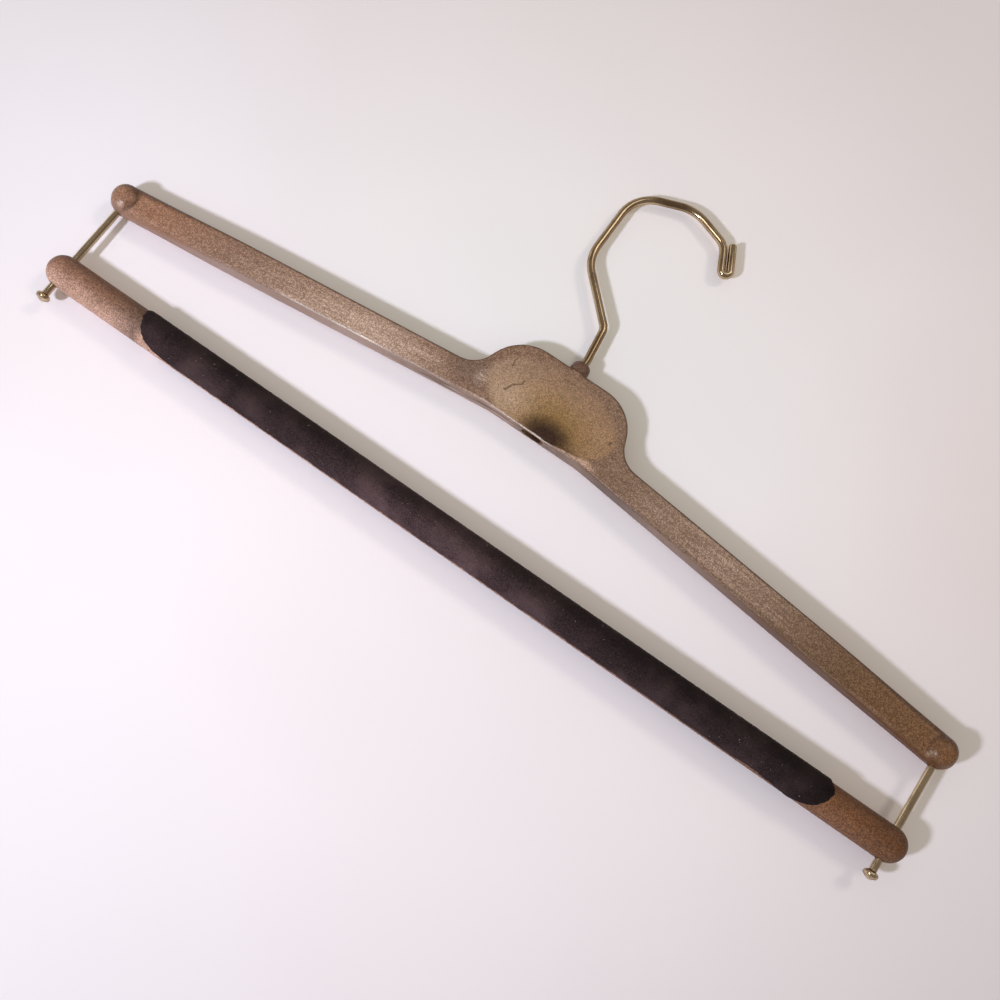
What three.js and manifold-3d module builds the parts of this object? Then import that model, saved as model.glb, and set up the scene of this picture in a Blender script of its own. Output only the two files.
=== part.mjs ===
// Suit hanger: a moulded shoulder body with a dished centre plaque, a bent wire hook that swivels in it,
// and a flocked trouser bar that slides up and down on two headed guide rods.
// Millimetres, +Z up, the front faces -Y. The origin is where the rail sits, inside the top of the hook.

import * as THREE from 'three';
import { mergeVertices } from 'three/addons/utils/BufferGeometryUtils.js';
import Module from 'manifold-3d';

const wasm = await Module();
wasm.setup();

// Shoulder body, seen from the front
const SHOULDER_SPAN = 430; // tip to tip
const HOOK_HEIGHT = 94.2; // from the rail down to the plaque's top edge
const PLAQUE_HEIGHT = 34.2;
const PLAQUE_TOP_WIDTH = 57.6; // between the corners before they are rounded
const PLAQUE_BOTTOM_WIDTH = 46; // straight lower edge between the two arms
const PLAQUE_FLANK_ANGLE = 69; // degrees from the horizontal
const PLAQUE_CORNER_RADIUS = 20;
const PLAQUE_ROOT_RADIUS = 12.5; // hollow sweep from the plaque's flank into the arm
const UNDERSIDE_BEND_RADIUS = 60;
const ARM_DROP_ANGLE = 6.5; // degrees, along the underside
const ARM_ROOT_HEIGHT = 13;
const ARM_TIP_HEIGHT = 14.1;
const ARM_TIP_RADIUS = 6.8;

// Shoulder body, front to back
const BODY_DEPTH = 10.5;
const EDGE_RADIUS = 1.4; // along the plaque and the inner arms
const TIP_EDGE_RADIUS = 4.2; // at the arms' soft ends
const TIP_EDGE_RUN = 75; // length of arm along which the edge softens
const DISH_DEPTH = 1.6;
const DISH_WIDTH = 66;
const DISH_HEIGHT = 36.2; // more than the plaque's, so the bowl runs out over its lower edge
const DISH_TOP_MARGIN = 2.2; // from the plaque's top edge
const END_BALL_DIAMETER = 13.5;
const END_BALL_RISE = 2.6; // above the arm's front face
const END_BALL_INSET = 7; // from the arm's tip
const END_BALL_FULLNESS = 2.6; // 2 is an ellipsoid, more is boxier
const COLLAR_DIAMETER = 9.2; // at its foot
const COLLAR_TAPER = 0.5; // on each side, up to its rounded top
const COLLAR_RISE = 6; // above the plaque's top edge
const COLLAR_ROUNDING = 2.3;

// Hook, bent in the plane of the body
const WIRE_DIAMETER = 3.6;
const KNEE_RISE = 20; // first bend, above the collar's top
const KNEE_OFFSET = 2.6;
const KNEE_RADIUS = 4.5;
const ELBOW_DROP = 44; // below the rail
const ELBOW_RADIUS = 10;
const BOW_REACH = 26.3; // from the stem's axis to the back of the bow
const BOW_SHOULDER_DROP = 7;
const BOW_SHOULDER_RADIUS = 16;
const CREST_RISE = 0.95; // of the crest's corner above its rounded top
const CREST_RADIUS = 15;
const NOSE_REACH = 19.4; // from the stem's axis to the bend above the tip
const NOSE_DROP = 4;
const NOSE_RADIUS = 5;
const TIP_ANGLE = 64; // degrees below the horizontal
const TIP_LENGTH = 12.7;
const TIP_RETURN = 13.3;
const TIP_GAP = 1.1; // between the wire and its folded end
const STEM_EXIT = 0.8; // straight wire above the collar
const STEM_EXIT_RADIUS = 12;
const RIVET_DIAMETER = 5.4;
const RIVET_THICKNESS = 2;

// Oblong pocket under the plaque for the hook's riveted end
const POCKET_WALL = 2.2; // left in front of the pocket and behind it
const POCKET_WIDTH = 10.8;
const POCKET_DEPTH = 4.8;
const WASHER_THICKNESS = 1;

// Guide rods
const ROD_DIAMETER = 3.2;
const ROD_INSET = 6.6; // from the arm's tip to the rod's axis
const ROD_SOCKET_DEPTH = 8.5;
const ROD_HEAD_DIAMETER = 6.2;
const ROD_HEAD_THICKNESS = 2.6; // at its rim
const ROD_HEAD_DOME = 0.8;
const ROD_NECK_RADIUS = 0.5;

// Trouser bar as it rests, and its flocked skin
const BAR_DIAMETER = 14.8;
const BAR_OVERHANG = 7.5; // past the rod's axis
const BAR_GAP_ABOVE = 28; // from the arm's underside to the bar, at the rods
const BAR_GAP_BELOW = 5.2; // from the bar to the rod's head
const FLOCK_THICKNESS = 0.5;
const FLOCK_LENGTH = 342;
const FLOCK_SHIFT = 6.5; // of the skin's middle towards the right
const FLOCK_LOWER_EDGE = 6.9; // below the bar's axis, the underside stays bare
const FLOCK_SLANT = 0.8; // by which that edge is lower at the right end and higher at the left
const FLOCK_CORNER_RADIUS = 11;

// Clearances
const SEAT_GAP = 0.3; // between pieces that rest on each other
const STEM_CLEARANCE = 0.35; // round the hook's stem
const SLIDE_CLEARANCE = 0.4; // round the rod in the bar
const FLOCK_GAP = 0.25; // between the bar and its skin

// Fineness of the round forms
const OUTLINE_STEPS = 6;
const EDGE_STEPS = 4;
const SOFTENING_STEPS = 6; // along the run where an edge softens
const ROUND_SIDES = 24;
const WIRE_SIDES = 16;
const ROD_SIDES = 18;
const BAR_SIDES = 36;
const BEND_STEP = 12; // degrees of a bend between two stations of the wire
const MERGE_TOLERANCE = 1e-4;
const CUT_MARGIN = 1; // by which a cutting form passes the face that it opens

const radians = THREE.MathUtils.degToRad;
const halfSpan = SHOULDER_SPAN / 2;
const halfDepth = BODY_DEPTH / 2;
const wireRadius = WIRE_DIAMETER / 2;
const rodRadius = ROD_DIAMETER / 2;
const barRadius = BAR_DIAMETER / 2;
const pocketRadius = halfDepth - POCKET_WALL;
const stemBore = wireRadius + STEM_CLEARANCE;

// Heights that the pieces share
const plaqueTop = -HOOK_HEIGHT;
const plaqueBottom = plaqueTop - PLAQUE_HEIGHT;
const collarTop = plaqueTop + COLLAR_RISE;
const pocketTop = plaqueBottom + POCKET_DEPTH;
const washerTop = pocketTop - SEAT_GAP;
const rivetTop = washerTop - WASHER_THICKNESS - SEAT_GAP;
const armRootX = PLAQUE_BOTTOM_WIDTH / 2;
const armBottom = (x) => plaqueBottom - (x - armRootX) * Math.tan(radians(ARM_DROP_ANGLE));
const armSwell = (ARM_TIP_HEIGHT - ARM_ROOT_HEIGHT) / (halfSpan - armRootX);
const armTop = (x) => armBottom(x) + ARM_ROOT_HEIGHT + armSwell * (x - armRootX);
const rodX = halfSpan - ROD_INSET;
const barZ = armBottom(rodX) - BAR_GAP_ABOVE - barRadius;
const rodHeadTop = barZ - barRadius - BAR_GAP_BELOW;
const rodTop = armBottom(rodX) + ROD_SOCKET_DEPTH - SEAT_GAP;

// A closed geometry as a solid that can be joined and cut.
function solidOf(geometry) {
  const bare = new THREE.BufferGeometry();
  bare.setAttribute('position', geometry.getAttribute('position'));
  bare.setIndex(geometry.getIndex());
  const merged = mergeVertices(bare, MERGE_TOLERANCE);
  const corners = merged.getIndex().array;
  const triangles = [];
  for (let i = 0; i < corners.length; i += 3) {
    const [a, b, c] = corners.slice(i, i + 3);
    if (a !== b && b !== c && c !== a) triangles.push(a, b, c);
  }
  return new wasm.Manifold(new wasm.Mesh({
    numProp: 3,
    vertProperties: merged.getAttribute('position').array,
    triVerts: new Uint32Array(triangles),
  }));
}

function meshOf(name, solid, colour, roughness, metalness) {
  const { vertProperties, triVerts } = solid.getMesh();
  const geometry = new THREE.BufferGeometry();
  geometry.setAttribute('position', new THREE.BufferAttribute(vertProperties, 3));
  geometry.setIndex(new THREE.BufferAttribute(triVerts, 1));
  geometry.computeVertexNormals();
  const material = new THREE.MeshStandardMaterial({ color: colour, roughness, metalness });
  const mesh = new THREE.Mesh(geometry, material);
  mesh.name = name;
  return mesh;
}

// The two tangent points, the centre and the turn of a rounded corner between two straight runs.
function roundCorner(before, corner, after, radius) {
  const back = before.clone().sub(corner).normalize();
  const ahead = after.clone().sub(corner).normalize();
  const halfOpening = Math.acos(THREE.MathUtils.clamp(back.dot(ahead), -1, 1)) / 2;
  const bisector = back.clone().add(ahead).normalize();
  const centre = corner.clone().addScaledVector(bisector, radius / Math.sin(halfOpening));
  const reach = radius / Math.tan(halfOpening);
  return {
    centre,
    start: corner.clone().addScaledVector(back, reach),
    end: corner.clone().addScaledVector(ahead, reach),
    clockwise: back.cross(ahead) > 0,
    sweep: Math.PI - 2 * halfOpening,
  };
}

// A closed outline of straight runs; each corner is [x, z, rounding radius].
function roundedShape(corners) {
  const points = corners.map(([x, z]) => new THREE.Vector2(x, z));
  const shape = new THREE.Shape();
  corners.forEach(([, , radius], i) => {
    const before = points.at(i - 1);
    const after = points[(i + 1) % points.length];
    const { centre, start, end, clockwise } = roundCorner(before, points[i], after, radius);
    const from = start.clone().sub(centre).angle();
    const to = end.clone().sub(centre).angle();
    if (i === 0) shape.moveTo(start.x, start.y);
    else shape.lineTo(start.x, start.y);
    shape.absarc(centre.x, centre.y, radius, from, to, clockwise);
  });
  shape.closePath();
  return shape;
}

// An outline in the front view, given a depth that is centred on the middle plane.
function frontPrism(shape, depth) {
  const geometry = new THREE.ExtrudeGeometry(shape, {
    depth,
    curveSegments: OUTLINE_STEPS,
    bevelEnabled: false,
  });
  return geometry.translate(0, 0, -depth / 2).rotateX(Math.PI / 2);
}

// The points of an outline, with more of them where its straight runs pass the given stations in x.
function dividedOutline(shape, stations) {
  const corners = shape.getPoints(OUTLINE_STEPS);
  const points = [];
  corners.forEach((from, i) => {
    const to = corners[(i + 1) % corners.length];
    if (from.distanceTo(to) < MERGE_TOLERANCE) return;
    const shareAt = (x) => (x - from.x) / (to.x - from.x);
    const shares = stations.map(shareAt).filter((share) => share > 0 && share < 1).sort((a, b) => a - b);
    points.push(from, ...shares.map((share) => from.clone().lerp(to, share)));
  });
  return points;
}

// The direction into an outline at one of its points, long enough to keep both edges at unit distance.
function insetDirection(before, point, after) {
  const normals = [point.clone().sub(before), after.clone().sub(point)].map((edge) => {
    edge.normalize();
    return new THREE.Vector2(-edge.y, edge.x);
  });
  const fit = 1 + normals[0].dot(normals[1]);
  return normals[0].add(normals[1]).divideScalar(fit);
}

// A prism whose edge rounding changes along its outline: inset rings are joined
// from the front face round the edge, over the wall and round to the back face.
function softEdgedPrism(points, depth, radiusAt) {
  const count = points.length;
  const insets = points.map((point, i) => insetDirection(points.at(i - 1), point, points[(i + 1) % count]));
  const quarter = Array.from({ length: EDGE_STEPS + 1 }, (_, i) => (i * Math.PI) / (2 * EDGE_STEPS));
  const ring = (side, angle) => points.map((point, i) => {
    const radius = radiusAt(point.x);
    const { x, y } = point.clone().addScaledVector(insets[i], radius * (1 - Math.cos(angle)));
    return new THREE.Vector3(x, side * (depth / 2 - radius * (1 - Math.sin(angle))), y);
  });
  const front = quarter.map((angle) => ring(-1, angle)).reverse();
  const rings = [...front, ...quarter.map((angle) => ring(1, angle))];
  const flat = rings[0].map(({ x, z }) => new THREE.Vector2(x, z));
  const lastRing = (rings.length - 1) * count;
  const indices = [];
  THREE.ShapeUtils.triangulateShape(flat, []).forEach(([a, b, c]) => {
    indices.push(a, b, c, lastRing + a, lastRing + c, lastRing + b);
  });
  for (let first = 0; first < lastRing; first += count) {
    for (let i = 0; i < count; i += 1) {
      const a = first + i;
      const b = first + ((i + 1) % count);
      indices.push(a, a + count, b + count, a, b + count, b);
    }
  }
  return new THREE.BufferGeometry().setFromPoints(rings.flat()).setIndex(indices);
}

// A turned form about a vertical axis; the profile is a list of [radius, z].
function turned(profile, x = 0, sides = ROUND_SIDES) {
  const points = profile.map(([radius, z]) => new THREE.Vector2(radius, z));
  return new THREE.LatheGeometry(points, sides).rotateX(Math.PI / 2).translate(x, 0, 0);
}

// Points of a quarter circle in a profile, from one angle to another about a centre.
function arcProfile(centreRadius, centreZ, radius, fromAngle, toAngle, steps) {
  return Array.from({ length: steps + 1 }, (_, i) => {
    const angle = radians(fromAngle + ((toAngle - fromAngle) * i) / steps);
    return [centreRadius + radius * Math.cos(angle), centreZ + radius * Math.sin(angle)];
  });
}

// A low dome in a profile, from its rim in to its crown.
function domeProfile(rimRadius, rimZ, rise) {
  const radius = (rimRadius ** 2 + rise ** 2) / (2 * rise);
  const rimAngle = THREE.MathUtils.radToDeg(Math.asin(1 - rise / radius));
  return arcProfile(0, rimZ + rise - radius, radius, rimAngle, 90, EDGE_STEPS);
}

// A wire bent in the front plane: straight runs with a rounded bend at each inner corner.
// Its stations crowd in the bends, so the straight runs stay single faces.
class BentWire extends THREE.Curve {
  constructor(corners) {
    super();
    const points = corners.map(([x, z]) => new THREE.Vector2(x, z));
    this.stations = [{ point: points[0], tangent: points[1].clone().sub(points[0]).normalize() }];
    for (let i = 1; i < points.length - 1; i += 1) {
      this.addBend(points[i - 1], points[i], points[i + 1], corners[i][2]);
    }
    const [beforeLast, last] = points.slice(-2);
    this.stations.push({ point: last, tangent: last.clone().sub(beforeLast).normalize() });
  }

  addBend(before, corner, after, radius) {
    const { centre, start, clockwise, sweep } = roundCorner(before, corner, after, radius);
    const steps = Math.max(2, Math.ceil(sweep / radians(BEND_STEP)));
    const heading = corner.clone().sub(before).normalize();
    for (let i = 0; i <= steps; i += 1) {
      const turn = ((clockwise ? -1 : 1) * sweep * i) / steps;
      const point = start.clone().rotateAround(centre, turn);
      const tangent = heading.clone().rotateAround(new THREE.Vector2(), turn);
      this.stations.push({ point, tangent });
    }
  }

  stationAt(t) {
    return this.stations[Math.round(t * (this.stations.length - 1))];
  }

  getUtoTmapping(u) {
    return u;
  }

  getPoint(t) {
    const { point } = this.stationAt(t);
    return new THREE.Vector3(point.x, 0, point.y);
  }

  getTangent(t) {
    const { tangent } = this.stationAt(t);
    return new THREE.Vector3(tangent.x, 0, tangent.y);
  }
}

function shoulderOutline() {
  const flank = 1 / Math.tan(radians(PLAQUE_FLANK_ANGLE));
  const topCorner = PLAQUE_TOP_WIDTH / 2;
  const topSlope = (armTop(halfSpan) - armTop(armRootX)) / (halfSpan - armRootX);
  const flankDrop = (plaqueTop - armTop(topCorner)) / (1 + topSlope * flank);
  const rootX = topCorner + flankDrop * flank;
  const right = [
    [armRootX, plaqueBottom, UNDERSIDE_BEND_RADIUS],
    [halfSpan, armBottom(halfSpan), ARM_TIP_RADIUS],
    [halfSpan, armTop(halfSpan), ARM_TIP_RADIUS],
    [rootX, armTop(rootX), PLAQUE_ROOT_RADIUS],
    [topCorner, plaqueTop, PLAQUE_CORNER_RADIUS],
  ];
  const left = right.map(([x, z, radius]) => [-x, z, radius]).reverse();
  return roundedShape([...right, ...left]);
}

// A shallow bowl with an oval rim on the plaque's front face.
function dishCutter() {
  const rings = 8;
  const bowlPoint = (share) => [share, DISH_DEPTH * (share ** 2 - 1)];
  const bowl = Array.from({ length: rings + 1 }, (_, i) => bowlPoint(i / rings));
  const points = [...bowl, [1, CUT_MARGIN], [0, CUT_MARGIN]].map(([x, y]) => new THREE.Vector2(x, y));
  const geometry = new THREE.LatheGeometry(points, 2 * ROUND_SIDES);
  geometry.scale(DISH_WIDTH / 2, 1, DISH_HEIGHT / 2).rotateX(Math.PI);
  return geometry.translate(0, -halfDepth, plaqueTop - DISH_TOP_MARGIN - DISH_HEIGHT / 2);
}

// A soft half ball from the middle of an arm's end to the front, nearly as wide as the arm.
function endBallGeometry(side) {
  const radius = END_BALL_DIAMETER / 2;
  const reach = halfDepth + END_BALL_RISE;
  const power = 2 / END_BALL_FULLNESS;
  const steps = 2 * EDGE_STEPS;
  const dome = Array.from({ length: steps }, (_, i) => {
    const angle = (i * Math.PI) / (2 * steps);
    return [radius * Math.cos(angle) ** power, reach * Math.sin(angle) ** power];
  });
  const x = halfSpan - END_BALL_INSET;
  const geometry = turned([[0, 0], ...dome, [0, reach]]).rotateX(Math.PI / 2);
  return geometry.translate(side * x, 0, (armTop(x) + armBottom(x)) / 2);
}

function collarGeometry() {
  const radius = COLLAR_DIAMETER / 2;
  const rimRadius = radius - COLLAR_TAPER - COLLAR_ROUNDING;
  const rim = arcProfile(rimRadius, collarTop - COLLAR_ROUNDING, COLLAR_ROUNDING, 0, 90, EDGE_STEPS);
  const root = plaqueTop - 2 * EDGE_RADIUS;
  return turned([[0, root], [radius, root], [radius, plaqueTop], ...rim, [0, collarTop]]);
}

function pocketCutter() {
  const reach = POCKET_WIDTH / 2 - pocketRadius;
  const quarterTurn = Math.PI / 2;
  const mouth = new THREE.Shape();
  mouth.absarc(reach, 0, pocketRadius, -quarterTurn, quarterTurn);
  mouth.absarc(-reach, 0, pocketRadius, quarterTurn, 3 * quarterTurn);
  mouth.closePath();
  const geometry = new THREE.ExtrudeGeometry(mouth, {
    depth: POCKET_DEPTH + CUT_MARGIN,
    curveSegments: OUTLINE_STEPS,
    bevelEnabled: false,
  });
  return geometry.translate(0, 0, plaqueBottom - CUT_MARGIN);
}

function stemCutter() {
  const bottom = pocketTop - CUT_MARGIN;
  const top = collarTop + CUT_MARGIN;
  return turned([[0, bottom], [stemBore, bottom], [stemBore, top], [0, top]]);
}

function rodSocketCutter(side) {
  const radius = rodRadius + SEAT_GAP;
  const top = armBottom(rodX) + ROD_SOCKET_DEPTH;
  const bottom = armBottom(halfSpan) - CUT_MARGIN;
  return turned([[0, bottom], [radius, bottom], [radius, top], [0, top]], side * rodX);
}

// The edges are crisp along the plaque and soften towards the arms' round ends.
function shoulderBlank() {
  const softFrom = halfSpan - TIP_EDGE_RUN;
  const softTo = halfSpan - ARM_TIP_RADIUS;
  const stepLength = (softTo - softFrom) / SOFTENING_STEPS;
  const steps = Array.from({ length: SOFTENING_STEPS }, (_, i) => softFrom + i * stepLength);
  const points = dividedOutline(shoulderOutline(), [...steps, ...steps.map((x) => -x)]);
  const softening = TIP_EDGE_RADIUS - EDGE_RADIUS;
  const radiusAt = (x) => EDGE_RADIUS + softening * THREE.MathUtils.smoothstep(Math.abs(x), softFrom, softTo);
  return softEdgedPrism(points, BODY_DEPTH, radiusAt);
}

function shoulderBody() {
  let body = solidOf(shoulderBlank());
  body = body.subtract(solidOf(dishCutter())).add(solidOf(collarGeometry()));
  for (const side of [-1, 1]) {
    body = body.add(solidOf(endBallGeometry(side)));
    body = body.subtract(solidOf(rodSocketCutter(side)));
  }
  return body.subtract(solidOf(pocketCutter())).subtract(solidOf(stemCutter()));
}

// Corners of the hook's wire from its riveted end up to its folded tip: [x, z, bend radius].
function hookCorners() {
  const fold = WIRE_DIAMETER + TIP_GAP;
  const along = new THREE.Vector2(Math.cos(radians(TIP_ANGLE)), -Math.sin(radians(TIP_ANGLE)));
  const across = new THREE.Vector2(-along.y, along.x);
  const nose = new THREE.Vector2(NOSE_REACH, -NOSE_DROP);
  const foldInner = nose.clone().addScaledVector(along, TIP_LENGTH + fold / 2);
  const foldOuter = foldInner.clone().addScaledVector(across, fold);
  const tip = foldOuter.clone().addScaledVector(along, -TIP_RETURN - fold / 2);
  return [
    [0, rivetTop - RIVET_THICKNESS / 2],
    [0, collarTop + STEM_EXIT, STEM_EXIT_RADIUS],
    [-KNEE_OFFSET, collarTop + KNEE_RISE, KNEE_RADIUS],
    [-BOW_REACH, -ELBOW_DROP, ELBOW_RADIUS],
    [-BOW_REACH, -BOW_SHOULDER_DROP, BOW_SHOULDER_RADIUS],
    [0, wireRadius + CREST_RISE, CREST_RADIUS],
    [nose.x, nose.y, NOSE_RADIUS],
    [foldInner.x, foldInner.y, fold / 2],
    [foldOuter.x, foldOuter.y, fold / 2],
    [tip.x, tip.y],
  ];
}

function hookSolid() {
  const section = new THREE.Shape().absarc(0, 0, wireRadius, 0, 2 * Math.PI);
  const path = new BentWire(hookCorners());
  const wire = new THREE.ExtrudeGeometry(section, {
    steps: path.stations.length - 1,
    curveSegments: WIRE_SIDES / 2,
    extrudePath: path,
  });
  const radius = RIVET_DIAMETER / 2;
  const bottom = rivetTop - RIVET_THICKNESS;
  const rounding = RIVET_THICKNESS / 2;
  const rim = arcProfile(radius - rounding, bottom + rounding, rounding, -90, 0, EDGE_STEPS);
  const rivet = turned([[0, bottom], ...rim, [radius, rivetTop], [0, rivetTop]]);
  return solidOf(wire).add(solidOf(rivet));
}

function washerSolid() {
  const inner = stemBore;
  const outer = pocketRadius - SEAT_GAP;
  const bottom = washerTop - WASHER_THICKNESS;
  const profile = [[inner, bottom], [outer, bottom], [outer, washerTop], [inner, washerTop], [inner, bottom]];
  return solidOf(turned(profile));
}

// A headed rod: a low-domed head at the bottom, a small neck fillet and a plain shank.
function guideRodSolid(side) {
  const radius = ROD_HEAD_DIAMETER / 2;
  const rounding = ROD_HEAD_THICKNESS / 2;
  const bottom = rodHeadTop - ROD_HEAD_THICKNESS;
  const rim = arcProfile(radius - rounding, bottom + rounding, rounding, -90, 90, 2 * EDGE_STEPS);
  const dome = domeProfile(radius - rounding, 0, ROD_HEAD_DOME).map(([r, rise]) => [r, bottom - rise]);
  const neckRounding = Math.min(ROD_NECK_RADIUS, radius - rounding - rodRadius);
  const neckRadius = rodRadius + neckRounding;
  const neck = arcProfile(neckRadius, rodHeadTop + neckRounding, neckRounding, 270, 180, 2);
  const profile = [...dome.reverse(), ...rim, ...neck, [rodRadius, rodTop], [0, rodTop]];
  return solidOf(turned(profile, side * rodX, ROD_SIDES));
}

// A turned form about the bar's own axis; the profile is a list of [radius, x].
function turnedOnBar(profile) {
  const points = profile.map(([radius, x]) => new THREE.Vector2(radius, x));
  return new THREE.LatheGeometry(points, BAR_SIDES).rotateZ(-Math.PI / 2).translate(0, 0, barZ);
}

function trouserBarSolid() {
  const straight = rodX + BAR_OVERHANG - barRadius;
  const leftEnd = arcProfile(0, -straight, barRadius, -90, 0, 2 * EDGE_STEPS);
  const rightEnd = arcProfile(0, straight, barRadius, 0, 90, 2 * EDGE_STEPS);
  let bar = solidOf(turnedOnBar([...leftEnd, ...rightEnd]));
  const hole = rodRadius + SLIDE_CLEARANCE;
  const reach = barRadius + CUT_MARGIN;
  for (const side of [-1, 1]) {
    const drill = [[0, barZ - reach], [hole, barZ - reach], [hole, barZ + reach], [0, barZ + reach]];
    bar = bar.subtract(solidOf(turned(drill, side * rodX)));
  }
  return bar;
}

// The flock wraps the bar from its lower front edge over the top to its lower back edge.
function flockSolid() {
  const inner = barRadius + FLOCK_GAP;
  const outer = inner + FLOCK_THICKNESS;
  const left = FLOCK_SHIFT - FLOCK_LENGTH / 2;
  const right = FLOCK_SHIFT + FLOCK_LENGTH / 2;
  const sleeve = turnedOnBar([[inner, left], [outer, left], [outer, right], [inner, right], [inner, left]]);
  const bottom = barZ - FLOCK_LOWER_EDGE;
  const top = barZ + outer + CUT_MARGIN;
  const patch = roundedShape([
    [right, bottom - FLOCK_SLANT, FLOCK_CORNER_RADIUS],
    [right, top, CUT_MARGIN],
    [left, top, CUT_MARGIN],
    [left, bottom + FLOCK_SLANT, FLOCK_CORNER_RADIUS],
  ]);
  return solidOf(sleeve).intersect(solidOf(frontPrism(patch, 2 * (outer + CUT_MARGIN))));
}

const FIBRE = 0x8d674f;
const METAL = 0xb9a878;
const FLOCK = 0x2b2226;

const hanger = new THREE.Group();
hanger.add(
  meshOf('shoulder_body', shoulderBody(), FIBRE, 0.5, 0),
  meshOf('hook', hookSolid(), METAL, 0.25, 1),
  meshOf('hook_washer', washerSolid(), METAL, 0.4, 1),
  meshOf('left_guide_rod', guideRodSolid(-1), METAL, 0.3, 1),
  meshOf('right_guide_rod', guideRodSolid(1), METAL, 0.3, 1),
  meshOf('trouser_bar', trouserBarSolid(), FIBRE, 0.6, 0),
  meshOf('flock_cover', flockSolid(), FLOCK, 0.95, 0),
);

export default hanger;
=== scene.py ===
"""Suit hanger: moulded shoulder body, swivelling wire hook, headed guide rods and a flocked trouser bar.

Each piece is modelled in millimetres in the part's frame and rides on the CAD body that carries it.
"""

import math
import random

import bmesh
import bpy
import numpy as np
from mathutils import Matrix, Vector


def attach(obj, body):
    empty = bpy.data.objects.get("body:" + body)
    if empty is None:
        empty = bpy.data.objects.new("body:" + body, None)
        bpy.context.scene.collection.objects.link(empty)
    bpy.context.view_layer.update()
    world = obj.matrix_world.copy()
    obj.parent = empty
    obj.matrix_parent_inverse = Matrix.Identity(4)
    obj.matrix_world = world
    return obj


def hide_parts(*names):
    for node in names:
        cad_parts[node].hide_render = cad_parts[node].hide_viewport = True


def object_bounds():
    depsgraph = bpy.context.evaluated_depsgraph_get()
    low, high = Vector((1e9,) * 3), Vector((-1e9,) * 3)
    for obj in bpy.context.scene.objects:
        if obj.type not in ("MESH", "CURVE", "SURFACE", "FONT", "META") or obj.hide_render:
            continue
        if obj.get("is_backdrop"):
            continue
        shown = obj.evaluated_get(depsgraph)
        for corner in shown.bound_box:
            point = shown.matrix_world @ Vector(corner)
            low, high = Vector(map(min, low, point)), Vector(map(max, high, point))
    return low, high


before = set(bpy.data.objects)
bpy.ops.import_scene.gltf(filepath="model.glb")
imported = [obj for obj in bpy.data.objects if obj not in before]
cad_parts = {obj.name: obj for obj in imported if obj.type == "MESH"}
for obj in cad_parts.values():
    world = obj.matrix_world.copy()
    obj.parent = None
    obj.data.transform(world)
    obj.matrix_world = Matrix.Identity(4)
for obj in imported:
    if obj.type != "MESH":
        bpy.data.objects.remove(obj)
cad_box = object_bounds()

MM = 0.001
PER_METRE = 1000
scene = bpy.context.scene
scene.view_settings.view_transform = "Standard"

# Shoulder body in millimetres, as in the part's source
HALF_SPAN = 215.0
PLAQUE_TOP = -94.2
PLAQUE_BOTTOM = -128.4
PLAQUE_CORNER_X = 28.8
PLAQUE_CORNER_RADIUS = 20.0
PLAQUE_FLANK = math.radians(69)
PLAQUE_ROOT_RADIUS = 12.5
ARM_ROOT_X = 23.0
ARM_ROOT_HEIGHT = 13.0
ARM_TIP_HEIGHT = 14.1
ARM_TIP_RADIUS = 6.8
ARM_DROP = math.tan(math.radians(6.5))
UNDERSIDE_BEND_RADIUS = 60.0
HALF_DEPTH = 5.25
EDGE_RADIUS = 1.4
TIP_EDGE_RADIUS = 4.2
TIP_EDGE_RUN = 75.0
DISH_DEPTH = 1.6
DISH_HALF_WIDTH = 33.0
DISH_HALF_HEIGHT = 18.1
DISH_MARGIN = 2.2
DISH_Z = PLAQUE_TOP - DISH_MARGIN - DISH_HALF_HEIGHT
BALL_X = 208.0
BALL_RADIUS = 6.75
BALL_REACH = 7.85
BALL_FULLNESS = 2.6
COLLAR_RADIUS = 4.6
COLLAR_TAPER = 0.5
COLLAR_ROUNDING = 2.3
COLLAR_TOP = -88.2
STEM_BORE = 2.15
POCKET_RADIUS = 3.05
POCKET_REACH = 2.35
POCKET_TOP = -123.6
SOCKET_GAP = 0.3
# Forms of it that only this script has: the dish's sill, the fillets and the stem's lip
SILL_START_X = 8.0
SILL_START_Z = -128.6
SILL_SLOPE = 0.135
SILL_RUN = 1.3
BALL_FILLET = 0.12
COLLAR_FOOT_FILLET = 0.9
COLLAR_FOOT_RISE = 0.6
STEM_LIP_GAP = 0.1
STEM_LIP_DEPTH = 1.0
STEM_LIP_TAPER = 0.5
# How far joined and cutting forms run past the faces they meet
COLLAR_ROOT = 6.0
OVERLAP = 1.0
OVERCUT = 2.0
SOCKET_FOOT = -160.0
DRILL_REACH = 9.0

# Hook; its bends between the collar and the bow are (x, z, radius)
WIRE_RADIUS = 1.8
WIRE_ROUNDING = 1.0
WIRE_END_ANGLE = 84
RIVET_TOP = -125.2
RIVET_RADIUS = 2.7
RIVET_THICKNESS = 2.0
RIVET_ROUNDING = 1.0
HOOK_BENDS = (
    (0, COLLAR_TOP + 2.7, 12), (-2.2, COLLAR_TOP + 19.2, 6.5), (-26.5, -45, 18), (-26.5, -6.7, 16.5),
    (-0.3, WIRE_RADIUS + 1.4, 19),
)
HOOK_NOSE = (19.5, -3.75)
HOOK_NOSE_BEND = 9
HOOK_TIP_SLANT = math.radians(64)
HOOK_TIP_RUN = 12.7
HOOK_FOLD_RUN = 13.3
HOOK_FOLD_GAP = 0.35

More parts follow.
